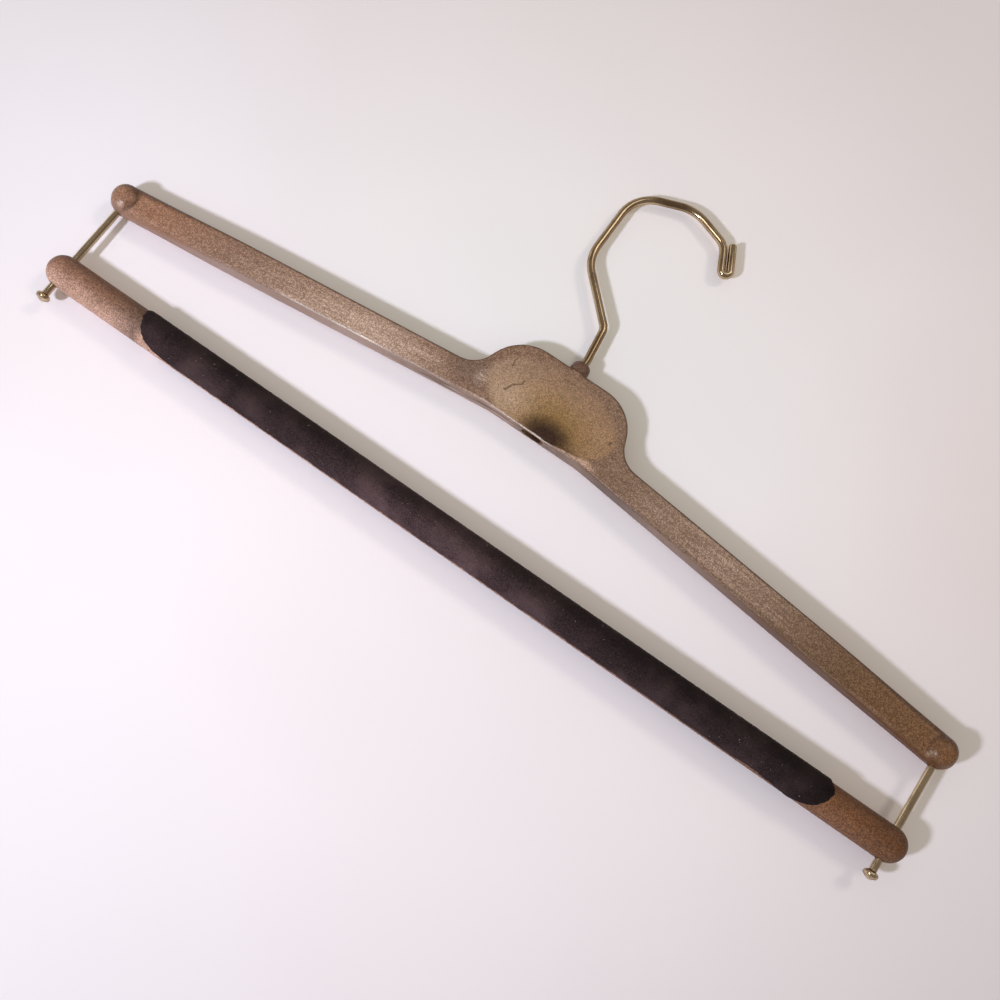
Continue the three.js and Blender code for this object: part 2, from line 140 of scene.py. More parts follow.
# Guide rods and trouser bar
ROD_X = 208.4
ROD_RADIUS = 1.6
ROD_TOP = -141.32
ROD_CHAMFER = 0.4
ROD_NECK_FILLET = 0.5
ROD_SHANK_START = 4.0
ROD_HEAD_TOP = -197.52
ROD_HEAD_RADIUS = 3.1
ROD_HEAD_THICKNESS = 2.6
ROD_HEAD_DOME = 0.8
BAR_Z = -184.92
BAR_RADIUS = 7.4
BAR_HALF_LENGTH = 215.9
BAR_HOLE_GAP = 0.4
BAR_HOLE_CHAMFER = 0.35
BAR_HOLE_STRAIGHT = 6.6

# Flock skin; its edges are (angle round the bar, x) and (x, angle), where 0 is the front and 90 the top
FLOCK_INNER = 7.65
FLOCK_OUTER = 8.15
FLOCK_LEFT_EDGE = (
    (-68, -146), (-59, -152.8), (-43, -158.3), (-15, -161.7), (23, -164.4), (52, -165.4), (150, -163.5),
    (245, -150),
)
FLOCK_RIGHT_EDGE = (
    (-83, 165), (-65, 170.7), (-46, 175), (-15, 177.9), (21, 179.4), (61, 177.4), (150, 176), (245, 166),
)
FLOCK_LOWER_EDGE = ((-146, -71), (-40, -71), (60, -70), (138, -69), (150, -63), (158, -71), (166, -83))
FLOCK_LOWER_GUESS = -64
FLOCK_BACK_EDGE = 237
FLOCK_FRAYS = (0.35, 0.3)
# Its ragged long edges, in degrees, and the worn place in them
RAGGED_ANGLE = 2.6
RAGGED_ROWS = 1.6
RAGGED_MEMORY = 0.6
RAGGED_STEP = 0.45
WORN_X = 150
WORN_RUN = 5
WORN_GAIN = 2.5
# Its nap drops at the ends and sides and swells in slow waves (per mm of x, per degree)
NAP_END_DROP = 0.3
NAP_END_RUN = 0.35
NAP_SIDE_DROP = 0.25
NAP_SIDE_ROWS = 0.9
NAP_SWELL = 0.05
NAP_WAVES = ((0.9, 0.21), (0.37, -0.13))
NAP_UNEVENNESS = 0.07
# Lint fibres: ranges to draw from
LINT_COUNT = 110
LINT_X = (-156, 170)
LINT_ANGLE_SPREAD = 38
LINT_ANGLES = (-52, 95)
LINT_LENGTH = (0.3, 1.1)
LINT_THICKNESS = (0.06, 0.14)
LINT_SINK = 0.05
LINT_LIFT = (0.05, 0.3)

# Fineness of the meshes
MERGE_DISTANCE = 0.002
SHARP_ANGLE = 35
FLOCK_SHARP_ANGLE = 70
OUTLINE_STEP = 0.4
DISTANCE_BATCH = 400
BODY_ROWS = 54
PLAQUE_RUN = 48.0
PLAQUE_STEP = 0.4
ARM_STEP = 1.6
TIP_RUN = 12.0
TIP_STATIONS = 26
POCKET_STEPS = 20
WIRE_STEP = 0.45
WIRE_SIDES = 28
WIRE_END_STEPS = 7
COLLAR_SIDES = 48
RIVET_SIDES = 40
ROD_SIDES = 32
ROD_STATIONS = 12
BAR_SIDES = 72
BAR_STATIONS = 120
BAR_END_STEPS = 16
FLOCK_ROWS = 92
FLOCK_COLUMNS = 430
FLOCK_END_SHARE = 0.0015


def arm_bottom(x):
    return PLAQUE_BOTTOM - (abs(x) - ARM_ROOT_X) * ARM_DROP


def arm_top(x):
    swell = (ARM_TIP_HEIGHT - ARM_ROOT_HEIGHT) / (HALF_SPAN - ARM_ROOT_X)
    return arm_bottom(x) + ARM_ROOT_HEIGHT + swell * (abs(x) - ARM_ROOT_X)


BALL_Z = (arm_top(BALL_X) + arm_bottom(BALL_X)) / 2


def smooth(low, high, value):
    t = np.clip((np.asarray(value, float) - low) / (high - low), 0, 1)
    return t * t * (3 - 2 * t)


def add_object(name, data):
    obj = bpy.data.objects.new(name, data)
    scene.collection.objects.link(obj)
    return obj


def add_faces(name, points, faces):
    """An object with a plain mesh from points in millimetres."""
    mesh = bpy.data.meshes.new(name)
    mesh.from_pydata([Vector(p) * MM for p in points], [], [tuple(f) for f in faces])
    return add_object(name, mesh)


def add_mesh(name, points, faces, sharp_angle=SHARP_ANGLE):
    """A closed shaded form; edges steeper than the angle stay sharp."""
    obj = add_faces(name, points, faces)
    tidy(obj, sharp_angle)
    return obj


def tidy(obj, sharp_angle):
    shaped = bmesh.new()
    shaped.from_mesh(obj.data)
    bmesh.ops.remove_doubles(shaped, verts=shaped.verts, dist=MERGE_DISTANCE * MM)
    bmesh.ops.dissolve_degenerate(shaped, edges=shaped.edges, dist=MERGE_DISTANCE * MM)
    bmesh.ops.recalc_face_normals(shaped, faces=shaped.faces)
    for face in shaped.faces:
        face.smooth = True
    for edge in shaped.edges:
        edge.smooth = edge.calc_face_angle(0) < math.radians(sharp_angle)
    shaped.to_mesh(obj.data)
    shaped.free()
    obj.data.update()


def carve(obj, tools):
    """Joins or cuts the object with each (tool, operation) and drops the tools."""
    for tool, operation in tools:
        modifier = obj.modifiers.new("carve", "BOOLEAN")
        modifier.operation = operation
        modifier.solver = "EXACT"
        modifier.object = tool
    bpy.context.view_layer.update()
    shaped = obj.evaluated_get(bpy.context.evaluated_depsgraph_get())
    mesh = bpy.data.meshes.new_from_object(shaped)
    obj.modifiers.clear()
    old = obj.data
    obj.data = mesh
    mesh.name = obj.name
    bpy.data.meshes.remove(old)
    for tool, _ in tools:
        data = tool.data
        bpy.data.objects.remove(tool)
        bpy.data.meshes.remove(data)
    tidy(obj, SHARP_ANGLE)


def lathe(profile, sides, place):
    """Rings of a closed turned form; place(radius, height, angle) gives a point."""
    points, faces, rings = [], [], []
    for radius, height in profile:
        if radius < 1e-6:
            rings.append([len(points)] * sides)
            points.append(place(0, height, 0))
            continue
        rings.append(range(len(points), len(points) + sides))
        points += [place(radius, height, math.tau * i / sides) for i in range(sides)]
    for low, high in zip(rings, rings[1:]):
        for i in range(sides):
            j = (i + 1) % sides
            corners = list(dict.fromkeys((low[i], low[j], high[j], high[i])))
            if len(corners) > 2:
                faces.append(corners)
    return points, faces


def along_bar(radius, height, angle):
    return (height, radius * math.cos(angle), BAR_Z + radius * math.sin(angle))


def upright(name, profile, sides, x=0):
    """A form that is turned about an upright axis."""

    def place(radius, height, angle):
        return (x + radius * math.cos(angle), radius * math.sin(angle), height)

    return add_mesh(name, *lathe(profile, sides, place))


def slab_faces(columns, rows):
    """Faces of a closed slab: a grid of columns and rows, a second one behind it and the rim between them."""
    faces = []
    behind = columns * rows

    def at(i, j):
        return i * rows + j

    for i in range(columns - 1):
        for j in range(rows - 1):
            quad = [at(i, j), at(i + 1, j), at(i + 1, j + 1), at(i, j + 1)]
            faces.append(quad)
            faces.append([behind + k for k in reversed(quad)])
        for j in (0, rows - 1):
            a, b = at(i, j), at(i + 1, j)
            faces.append([a, behind + a, behind + b, b])
    for i in (0, columns - 1):
        for j in range(rows - 1):
            a, b = at(i, j), at(i, j + 1)
            faces.append([a, b, behind + b, behind + a])
    return faces


def arc(centre, radius, start, end, steps):
    angles = np.radians(np.linspace(start, end, steps + 1))
    return [(centre[0] + radius * math.cos(a), centre[1] + radius * math.sin(a)) for a in angles]


def rounded_path(corners, step):
    """Points of straight runs with a rounded bend at each corner (x, z, radius); ends have no radius."""
    points = [Vector(corners[0][:2])]
    for before, here, after in zip(corners, corners[1:], corners[2:]):
        corner = Vector(here[:2])
        back = (Vector(before[:2]) - corner).normalized()
        ahead = (Vector(after[:2]) - corner).normalized()
        half = back.angle(ahead) / 2
        centre = corner + (back + ahead).normalized() * here[2] / math.sin(half)
        start = corner + back * here[2] / math.tan(half)
        sweep = math.pi - 2 * half
        turn = -1 if back.cross(ahead) > 0 else 1
        steps = max(3, math.ceil(sweep * here[2] / step))
        for i in range(steps + 1):
            spoke = start - centre
            spoke.rotate(Matrix.Rotation(turn * sweep * i / steps, 2))
            points.append(centre + spoke)
    points.append(Vector(corners[-1][:2]))
    return points


def body_outline():
    """The lower and the upper edge of the shoulder body as chains of points from left to right."""
    flank = 1 / math.tan(PLAQUE_FLANK)
    slope = (arm_top(HALF_SPAN) - arm_top(ARM_ROOT_X)) / (HALF_SPAN - ARM_ROOT_X)
    drop = (PLAQUE_TOP - arm_top(PLAQUE_CORNER_X)) / (1 + slope * flank)
    root = PLAQUE_CORNER_X + drop * flank
    right = [
        (ARM_ROOT_X, PLAQUE_BOTTOM, UNDERSIDE_BEND_RADIUS),
        (HALF_SPAN, arm_bottom(HALF_SPAN), ARM_TIP_RADIUS),
        (HALF_SPAN, arm_top(HALF_SPAN), ARM_TIP_RADIUS),
        (root, arm_top(root), PLAQUE_ROOT_RADIUS),
        (PLAQUE_CORNER_X, PLAQUE_TOP, PLAQUE_CORNER_RADIUS),
    ]
    path = rounded_path([(0, PLAQUE_BOTTOM, 0), *right, (0, PLAQUE_TOP, 0)], OUTLINE_STEP)
    tip = max(range(len(path)), key=lambda i: (round(path[i].x, 6), -path[i].y))
    lower, upper = path[: tip + 1], path[tip + 1:][::-1]
    mirrored = [[(-p.x, p.y) for p in chain[:0:-1]] for chain in (lower, upper)]
    return [np.array(m + [tuple(p) for p in c]) for m, c in zip(mirrored, (lower, upper))]


def outline_distance(points, outline):
    """Distance of each (x, z) point from a closed outline."""
    run = np.roll(outline, -1, 0) - outline
    length = (run ** 2).sum(1)
    keep = length > 1e-12
    start, run, length = outline[keep], run[keep], length[keep]
    best = np.empty(len(points))
    for first in range(0, len(points), DISTANCE_BATCH):
        batch = slice(first, first + DISTANCE_BATCH)
        offset = points[batch, None, :] - start[None]
        share = np.clip((offset * run).sum(2) / length, 0, 1)
        best[batch] = np.sqrt(((offset - share[..., None] * run) ** 2).sum(2).min(1))
    return best


def body_columns():
    """Stations along the body: close together at the plaque and at the round tips."""
    tip = HALF_SPAN - TIP_RUN * (1 - np.sin(np.linspace(0, math.pi / 2, TIP_STATIONS)))
    arm = np.arange(PLAQUE_RUN, HALF_SPAN - TIP_RUN, ARM_STEP)
    half = np.concatenate([np.arange(PLAQUE_STEP / 2, PLAQUE_RUN, PLAQUE_STEP), arm, tip])
    return np.concatenate([-half[::-1], half])


def body_depths(x, z, inset):
    """How far the front and the back lie from the middle plane, at places inset from the outline."""
    soft = smooth(HALF_SPAN - TIP_EDGE_RUN, HALF_SPAN - ARM_TIP_RADIUS, abs(x))
    radius = EDGE_RADIUS + (TIP_EDGE_RADIUS - EDGE_RADIUS) * soft
    over = np.clip(radius - inset, 0, None)
    back = HALF_DEPTH - radius + np.sqrt(np.clip(radius ** 2 - over ** 2, 0, None))
    bowl = (x / DISH_HALF_WIDTH) ** 2 + ((z - DISH_Z) / DISH_HALF_HEIGHT) ** 2
    sill = z - SILL_START_Z - SILL_SLOPE * (x - SILL_START_X)
    front = back - DISH_DEPTH * np.clip(1 - bowl, 0, None) * smooth(0, SILL_RUN, sill)
    away = np.hypot(abs(x) - BALL_X, z - BALL_Z) / BALL_RADIUS
    ball = BALL_REACH * np.clip(1 - away ** BALL_FULLNESS, 0, None) ** (1 / BALL_FULLNESS)
    joined = (front + ball + np.sqrt((front - ball) ** 2 + BALL_FILLET ** 2)) / 2
    return np.where(abs(x) > BALL_X - 2 * BALL_RADIUS, joined, front), back


def collar_tool():
    neck = COLLAR_RADIUS - COLLAR_TAPER
    rim = arc((neck - COLLAR_ROUNDING, COLLAR_TOP - COLLAR_ROUNDING), COLLAR_ROUNDING, 8, 90, 8)
    reach = COLLAR_RADIUS + COLLAR_FOOT_FILLET
    foot = arc((reach, PLAQUE_TOP + COLLAR_FOOT_RISE), COLLAR_FOOT_FILLET, 270, 180, 5)
    root = PLAQUE_TOP - COLLAR_ROOT
    knob = [(0, root), (reach, root), *foot, *rim, (0, COLLAR_TOP)]
    return upright("collar_tool", knob, COLLAR_SIDES)


def pocket_tool():
    """The oblong pocket for the hook's riveted end, as a cutting form."""
    right = arc((POCKET_REACH, 0), POCKET_RADIUS, -90, 90, POCKET_STEPS)
    left = arc((-POCKET_REACH, 0), POCKET_RADIUS, 90, 270, POCKET_STEPS)
    ends = right + left
    count = len(ends)
    points = [(x, y, z) for z in (PLAQUE_BOTTOM - OVERCUT, POCKET_TOP) for x, y in ends]
    sides = [(i, (i + 1) % count, count + (i + 1) % count, count + i) for i in range(count)]
    return add_mesh("pocket_tool", points, [*sides, range(count), range(count, 2 * count)])


def stem_tool():
    lip = WIRE_RADIUS + STEM_LIP_GAP
    bottom, top = POCKET_TOP - OVERLAP, COLLAR_TOP + OVERCUT
    step = COLLAR_TOP - STEM_LIP_DEPTH
    bore = [(0, bottom), (STEM_BORE, bottom), (STEM_BORE, step - STEM_LIP_TAPER)]
    mouth = [(lip, step), (lip, top), (0, top)]
    return upright("stem_tool", bore + mouth, COLLAR_SIDES)


def socket_tool(x):
    reach, top = ROD_RADIUS + SOCKET_GAP, ROD_TOP + SOCKET_GAP
    socket = [(0, SOCKET_FOOT), (reach, SOCKET_FOOT), (reach, top), (0, top)]
    return upright("socket_tool", socket, ROD_SIDES, x)


def shoulder_body():
    lower, upper = body_outline()
    xs = body_columns()
    rows = (1 - np.cos(np.linspace(0, math.pi, BODY_ROWS))) / 2
    low = np.interp(xs, lower[:, 0], lower[:, 1])
    high = np.interp(xs, upper[:, 0], upper[:, 1])
    x = np.repeat(xs[:, None], len(rows), 1)
    z = low[:, None] + (high - low)[:, None] * rows[None]
    outline = np.concatenate([lower, upper[::-1]])
    inset = outline_distance(np.c_[x.ravel(), z.ravel()], outline).reshape(x.shape)
    inset[:, 0] = inset[:, -1] = 0
    front, back = body_depths(x, z, inset)
    points = np.concatenate([np.stack([x, y, z], 2).reshape(-1, 3) for y in (-front, back)])
    obj = add_mesh("shoulder_moulding", points, slab_faces(*x.shape))
    carve(obj, [
        (collar_tool(), "UNION"),
        (pocket_tool(), "DIFFERENCE"),
        (stem_tool(), "DIFFERENCE"),
        (socket_tool(-ROD_X), "DIFFERENCE"),
        (socket_tool(ROD_X), "DIFFERENCE"),
    ])
    return obj


def hook_corners():
    """Corners of the wire's path from the rivet to the end of the folded tip: (x, z, radius)."""
    fold = 2 * WIRE_RADIUS + HOOK_FOLD_GAP
    along = Vector((math.cos(HOOK_TIP_SLANT), -math.sin(HOOK_TIP_SLANT)))
    across = Vector((-along.y, along.x))
    nose = Vector(HOOK_NOSE)
    inner = nose + along * (HOOK_TIP_RUN + fold / 2)
    outer = inner + across * fold
    tip = outer - along * (HOOK_FOLD_RUN + fold / 2)
    return [
        (0, RIVET_TOP - OVERLAP, 0),
        *HOOK_BENDS,
        (*nose, HOOK_NOSE_BEND),
        (*inner, fold / 2),
        (*outer, fold / 2),
        (*tip, 0),
    ]


def sweep(path, radii, sides):
    """A closed tube along a path in the front plane, with a radius at each of its points."""
    points, faces = [], []
    for i, (here, radius) in enumerate(zip(path, radii)):
        heading = (path[min(i + 1, len(path) - 1)] - path[max(i - 1, 0)]).normalized()
        side = Vector((-heading.y, heading.x))
        for k in range(sides):
            angle = math.tau * k / sides
            offset = side * radius * math.cos(angle)
            points.append((here.x + offset.x, radius * math.sin(angle), here.y + offset.y))
    for i in range(len(path) - 1):
        for k in range(sides):
            a, b = i * sides + k, i * sides + (k + 1) % sides
            faces.append([a, b, b + sides, a + sides])
    faces.append(list(range(sides))[::-1])
    faces.append(list(range(len(points) - sides, len(points))))
    return points, faces


def wire_hook():
    path = rounded_path(hook_corners(), WIRE_STEP)
    last = (path[-1] - path[-2]).normalized()
    end = path.pop()
    for angle in np.radians(np.linspace(0, 90, WIRE_END_STEPS)):
        path.append(end - last * WIRE_ROUNDING * (1 - math.sin(angle)))
    turns = np.radians(np.linspace(0, WIRE_END_ANGLE, WIRE_END_STEPS))
    end_radii = [WIRE_RADIUS - WIRE_ROUNDING * (1 - math.cos(a)) for a in turns]
    radii = [WIRE_RADIUS] * (len(path) - WIRE_END_STEPS) + end_radii
    obj = add_mesh("wire_hook", *sweep(path, radii, WIRE_SIDES))
    bottom = RIVET_TOP - RIVET_THICKNESS
    rim = arc((RIVET_RADIUS - RIVET_ROUNDING, bottom + RIVET_ROUNDING), RIVET_ROUNDING, -90, 0, 6)
    head = [(0, bottom), *rim, (RIVET_RADIUS, RIVET_TOP), (0, RIVET_TOP)]
    carve(obj, [(upright("rivet_tool", head, RIVET_SIDES), "UNION")])
    return obj


def guide_rod(name, x):
    rounding = ROD_HEAD_THICKNESS / 2
    bottom = ROD_HEAD_TOP - ROD_HEAD_THICKNESS
    flat = ROD_HEAD_RADIUS - rounding
    crown = (flat ** 2 + ROD_HEAD_DOME ** 2) / (2 * ROD_HEAD_DOME)
    lowest = bottom - ROD_HEAD_DOME + crown
    dome = [(flat * t, lowest - math.sqrt(crown ** 2 - (flat * t) ** 2)) for t in np.linspace(0, 1, 7)]
    rim = arc((flat, bottom + rounding), rounding, -90, 90, 12)
    fillet = (ROD_RADIUS + ROD_NECK_FILLET, ROD_HEAD_TOP + ROD_NECK_FILLET)
    neck = arc(fillet, ROD_NECK_FILLET, 270, 180, 5)
    stations = np.linspace(ROD_HEAD_TOP + ROD_SHANK_START, ROD_TOP - ROD_CHAMFER, ROD_STATIONS)
    shank = [(ROD_RADIUS, z) for z in stations]
    profile = [*dome, *rim[1:], *neck, *shank, (ROD_RADIUS - ROD_CHAMFER, ROD_TOP), (0, ROD_TOP)]
    return upright(name, profile, ROD_SIDES, x)


def turned_bar():
    straight = BAR_HALF_LENGTH - BAR_RADIUS
    left = arc((0, -straight), BAR_RADIUS, -90, 0, BAR_END_STEPS)
    right = arc((0, straight), BAR_RADIUS, 0, 90, BAR_END_STEPS)
    middle = [(BAR_RADIUS, x) for x in np.linspace(-straight, straight, BAR_STATIONS)[1:-1]]
    profile = [(0, left[0][1]), *left[1:], *middle, *right[:-1], (0, right[-1][1])]
    obj = add_mesh("turned_bar", *lathe(profile, BAR_SIDES, along_bar))
    hole = ROD_RADIUS + BAR_HOLE_GAP
    mouth = hole + BAR_HOLE_CHAMFER
    half = [(0, DRILL_REACH), (mouth, DRILL_REACH), (mouth, BAR_RADIUS), (hole, BAR_HOLE_STRAIGHT)]
    drill = [(r, BAR_Z - h) for r, h in half] + [(r, BAR_Z + h) for r, h in reversed(half)]
    drills = [upright("drill_tool", drill, ROD_SIDES, x) for x in (-ROD_X, ROD_X)]
    carve(obj, [(tool, "DIFFERENCE") for tool in drills])
    return obj


def on_edge(edge, value):
    return float(np.interp(value, *zip(*edge)))


def flock_point(around, share, frays):
    """Where a point of the skin lies: x, the angle round the bar and how far the nearer end is."""
    left_fray, right_fray = frays
    angle = FLOCK_LOWER_GUESS + (FLOCK_BACK_EDGE - FLOCK_LOWER_GUESS) * around
    for _ in range(4):
        left = on_edge(FLOCK_LEFT_EDGE, angle) + left_fray
        right = on_edge(FLOCK_RIGHT_EDGE, angle) + right_fray
        x = left + (right - left) * share
        low = on_edge(FLOCK_LOWER_EDGE, x)
        angle = low + (FLOCK_BACK_EDGE - low) * around
    return x, angle, min(share, 1 - share) * (right - left)


def on_bar(x, angle, radius):
    turn = math.radians(angle)
    return (x, -radius * math.cos(turn), BAR_Z + radius * math.sin(turn))


def flock_skin():
    chance = random.Random(7)
    frays = [tuple(chance.uniform(-most, most) for most in FLOCK_FRAYS) for _ in range(FLOCK_ROWS)]
    between = np.linspace(FLOCK_END_SHARE, 1 - FLOCK_END_SHARE, FLOCK_COLUMNS - 2)
    shares = np.concatenate([[0.0], between, [1.0]])
    ragged = [0.0]
    while len(ragged) < FLOCK_COLUMNS:
        ragged.append(RAGGED_MEMORY * ragged[-1] + chance.uniform(-RAGGED_STEP, RAGGED_STEP))
    inner, outer = [], []
    for j in range(FLOCK_ROWS):
        side = min(j, FLOCK_ROWS - 1 - j)
        sign = 1 if j < FLOCK_ROWS / 2 else -1
        for k, share in enumerate(shares):
            x, angle, rim = flock_point(j / (FLOCK_ROWS - 1), share, frays[j])
            worn = 1 + WORN_GAIN * math.exp(-((x - WORN_X) / WORN_RUN) ** 2)
            angle += sign * RAGGED_ANGLE * worn * ragged[k] * math.exp(-side / RAGGED_ROWS)
            nap = FLOCK_OUTER - NAP_END_DROP * math.exp(-rim / NAP_END_RUN)
            nap -= NAP_SIDE_DROP * math.exp(-side / NAP_SIDE_ROWS)
            nap += NAP_SWELL * math.prod(math.sin(x * a + angle * b) for a, b in NAP_WAVES)
            nap += chance.uniform(-NAP_UNEVENNESS, NAP_UNEVENNESS)
            inner.append(on_bar(x, angle, FLOCK_INNER))
            outer.append(on_bar(x, angle, nap))
    return add_mesh("flock_skin", outer + inner, slab_faces(FLOCK_ROWS, FLOCK_COLUMNS), FLOCK_SHARP_ANGLE)


def flock_lint():
    """Dust fibres caught in the nap: slender closed spikes that lie along it."""
    chance = random.Random(11)
    points, faces = [], []
    for _ in range(LINT_COUNT):
        x = chance.uniform(*LINT_X)
        angle = chance.gauss(0, LINT_ANGLE_SPREAD)
        heading = chance.uniform(0, math.tau)
        length = chance.uniform(*LINT_LENGTH)
        thick = chance.uniform(*LINT_THICKNESS)
        run = (math.cos(heading) * length, math.degrees(math.sin(heading) * length / FLOCK_OUTER))
        across = (-math.sin(heading) * thick, math.degrees(math.cos(heading) * thick / FLOCK_OUTER))
        angle = min(max(angle, LINT_ANGLES[0]), LINT_ANGLES[1])
        first = len(points)
        points += [
            on_bar(x - across[0], angle - across[1], FLOCK_OUTER - LINT_SINK),
            on_bar(x + across[0], angle + across[1], FLOCK_OUTER - LINT_SINK),
            on_bar(x, angle, FLOCK_OUTER + thick),
            on_bar(x + run[0], angle + run[1], FLOCK_OUTER + chance.uniform(*LINT_LIFT)),
        ]
        faces += [[first + i for i in corners] for corners in ((0, 1, 2), (0, 1, 3), (1, 2, 3), (2, 0, 3))]
    return add_mesh("flock_lint", points, faces, FLOCK_SHARP_ANGLE)


class Nodes:
    """A node tree that is built up node by node."""

    def __init__(self, tree):
        self.tree = tree
        tree.nodes.clear()

    def node(self, kind, settings=None, *first_inputs, **inputs):
        node = self.tree.nodes.new("ShaderNode" + kind)
        for key, value in (settings or {}).items():
            setattr(node, key, value)
        for socket, value in zip(node.inputs, first_inputs):
            self.put(socket, value)
        for key, value in inputs.items():
            self.put(node.inputs[key.replace("_", " ")], value)
        return node

    def put(self, socket, value):
        if isinstance(value, bpy.types.NodeSocket):
            self.tree.links.new(value, socket)
        elif isinstance(value, tuple) and socket.type == "RGBA":
            socket.default_value = (*value, 1)
        else:
            socket.default_value = value

    def math(self, operation, first, second=0.0):
        return self.node("Math", {"operation": operation}, first, second).outputs[0]


class Paint(Nodes):
    """A procedural material with a colour that is laid on in layers."""

    def __init__(self, name):
        self.material = bpy.data.materials.new(name)
        self.material.use_nodes = True
        super().__init__(self.material.node_tree)
        source = self.node("TexCoord").outputs
        self.coords = source["Object"]
        self.facing = self.node("SeparateXYZ", Vector=source["Normal"]).outputs
        self.places = self.node("SeparateXYZ", Vector=self.stretched(PER_METRE, PER_METRE, PER_METRE)).outputs
        self.colour = None

    def stretched(self, x, y, z):
        return self.node("Mapping", Vector=self.coords, Scale=(x, y, z)).outputs[0]

    def noise(self, scale, detail=2.0, roughness=0.5, coords=None):
        place = coords or self.coords
        return self.node("TexNoise", Vector=place, Scale=scale, Detail=detail, Roughness=roughness).outputs[0]

    def ramp(self, value, *stops):
        node = self.node("ValToRGB", Fac=value)
        elements = node.color_ramp.elements
        while len(elements) < len(stops):
            elements.new(0.5)
        for element, (place, colour) in zip(elements, stops):
            element.position = place
            element.color = (*colour, 1) if isinstance(colour, tuple) else (colour, colour, colour, 1)
        return node.outputs[0]

    def mix(self, share, first, second, blend="MIX"):
        node = self.node("Mix", {"data_type": "RGBA", "blend_type": blend, "clamp_factor": True})
        self.put(node.inputs[0], share)
        self.put(node.inputs[6], first)
        self.put(node.inputs[7], second)
        return node.outputs[2]

    def cover(self, tone, *masks):
        """Lays a tone over the colour where all the masks are high."""
        self.colour = self.mix(self.both(*masks), self.colour, tone)

    def tint(self, tone):
        """Multiplies the colour by a tone."""
        self.colour = self.mix(1.0, self.colour, tone, "MULTIPLY")

    def vector(self, operation, first, second=(0, 0, 0)):
        return self.node("VectorMath", {"operation": operation}, first, second).outputs

    def along(self, value, *stops):
        """A ramp over a measured value; the stops are (value, grey or colour), rising."""
        low, high = stops[0][0], stops[-1][0]
        spread = self.node("MapRange", Value=value, From_Min=low, From_Max=high).outputs[0]
        return self.ramp(spread, *(((place - low) / (high - low), tone) for place, tone in stops))

    def rising(self, value, low, high, most=1.0):
        return self.along(value, (low, 0.0), (high, most))

    def falling(self, value, low, high, most=1.0):
        return self.along(value, (low, most), (high, 0.0))

    def both(self, *masks):
        product = masks[0]
        for mask in masks[1:]:
            product = self.math("MULTIPLY", product, mask)
        return product

    def weighted(self, first, first_weight, second, second_weight):
        return self.math("ADD", self.both(first, first_weight), self.both(second, second_weight))

    def wavy(self, scale, reach):
        """Places on the front in millimetres, moved about a little."""
        flat = self.node("CombineXYZ", X=self.places[0], Z=self.places[2]).outputs[0]
        drift = self.node("TexNoise", Vector=self.coords, Scale=scale, Detail=2.0).outputs["Color"]
        centred = self.vector("SUBTRACT", drift, (0.5, 0.5, 0.5))[0]
        return self.vector("ADD", flat, self.vector("MULTIPLY", centred, (reach, 0, reach))[0])[0]

    def local(self, flat, x, z, turn, wide=1, tall=1):
        """Places on the front as measured from one of them, turned and scaled."""
        return self.node("Mapping", {"vector_type": "TEXTURE"}, Vector=flat, Location=(x, 0, z),
                         Rotation=(0, -turn, 0), Scale=(wide, 1, tall)).outputs[0]

    def spot(self, flat, x, z, wide, tall, turn=0.0):
        """Distance from a place on the front; it is 1 on the ellipse of that half width and half height."""
        return self.vector("LENGTH", self.local(flat, x, z, math.radians(turn), wide, tall))["Value"]

    def patch(self, flat, x, z, wide, tall, solid, most, turn=0.0):
        """An elliptical patch that fades from its solid middle to its edge."""
        return self.falling(self.spot(flat, x, z, wide, tall, turn), solid, 1.0, most)

    def stroke(self, flat, width, *corners):
        """1 on a thin line through places on the front, 0 away from it."""
        nearest = None
        for (x0, z0), (x1, z1) in zip(corners, corners[1:]):
            local = self.local(flat, (x0 + x1) / 2, (z0 + z1) / 2, math.atan2(z1 - z0, x1 - x0))
            parts = self.node("SeparateXYZ", Vector=local).outputs
            reach = self.math("SUBTRACT", self.math("ABSOLUTE", parts[0]), math.hypot(x1 - x0, z1 - z0) / 2)
            offset = self.node("CombineXYZ", X=self.math("MAXIMUM", reach, 0.0), Z=parts[2]).outputs[0]
            away = self.vector("LENGTH", offset)["Value"]
            nearest = away if nearest is None else self.math("MINIMUM", nearest, away)
        return self.falling(nearest, width * 0.4, width)

    def bump(self, height, distance, strength):
        return self.node("Bump", Height=height, Distance=distance * MM, Strength=strength).outputs[0]

    def show(self, shader):
        self.node("OutputMaterial", Surface=shader.outputs[0])
        return self.material

    def finish(self, **inputs):
        return self.show(self.node("BsdfPrincipled", Base_Color=self.colour, **inputs))


def fibre_grain(paint):
    """Fine pale and dark fibres in the resin, about one half in the mean."""
    cells = paint.node("TexVoronoi", Vector=paint.coords, Scale=2400).outputs["Color"]
    lumps = paint.node("SeparateColor", Color=cells).outputs[0]
    return paint.weighted(lumps, 0.5, paint.noise(4300, 2), 0.5)


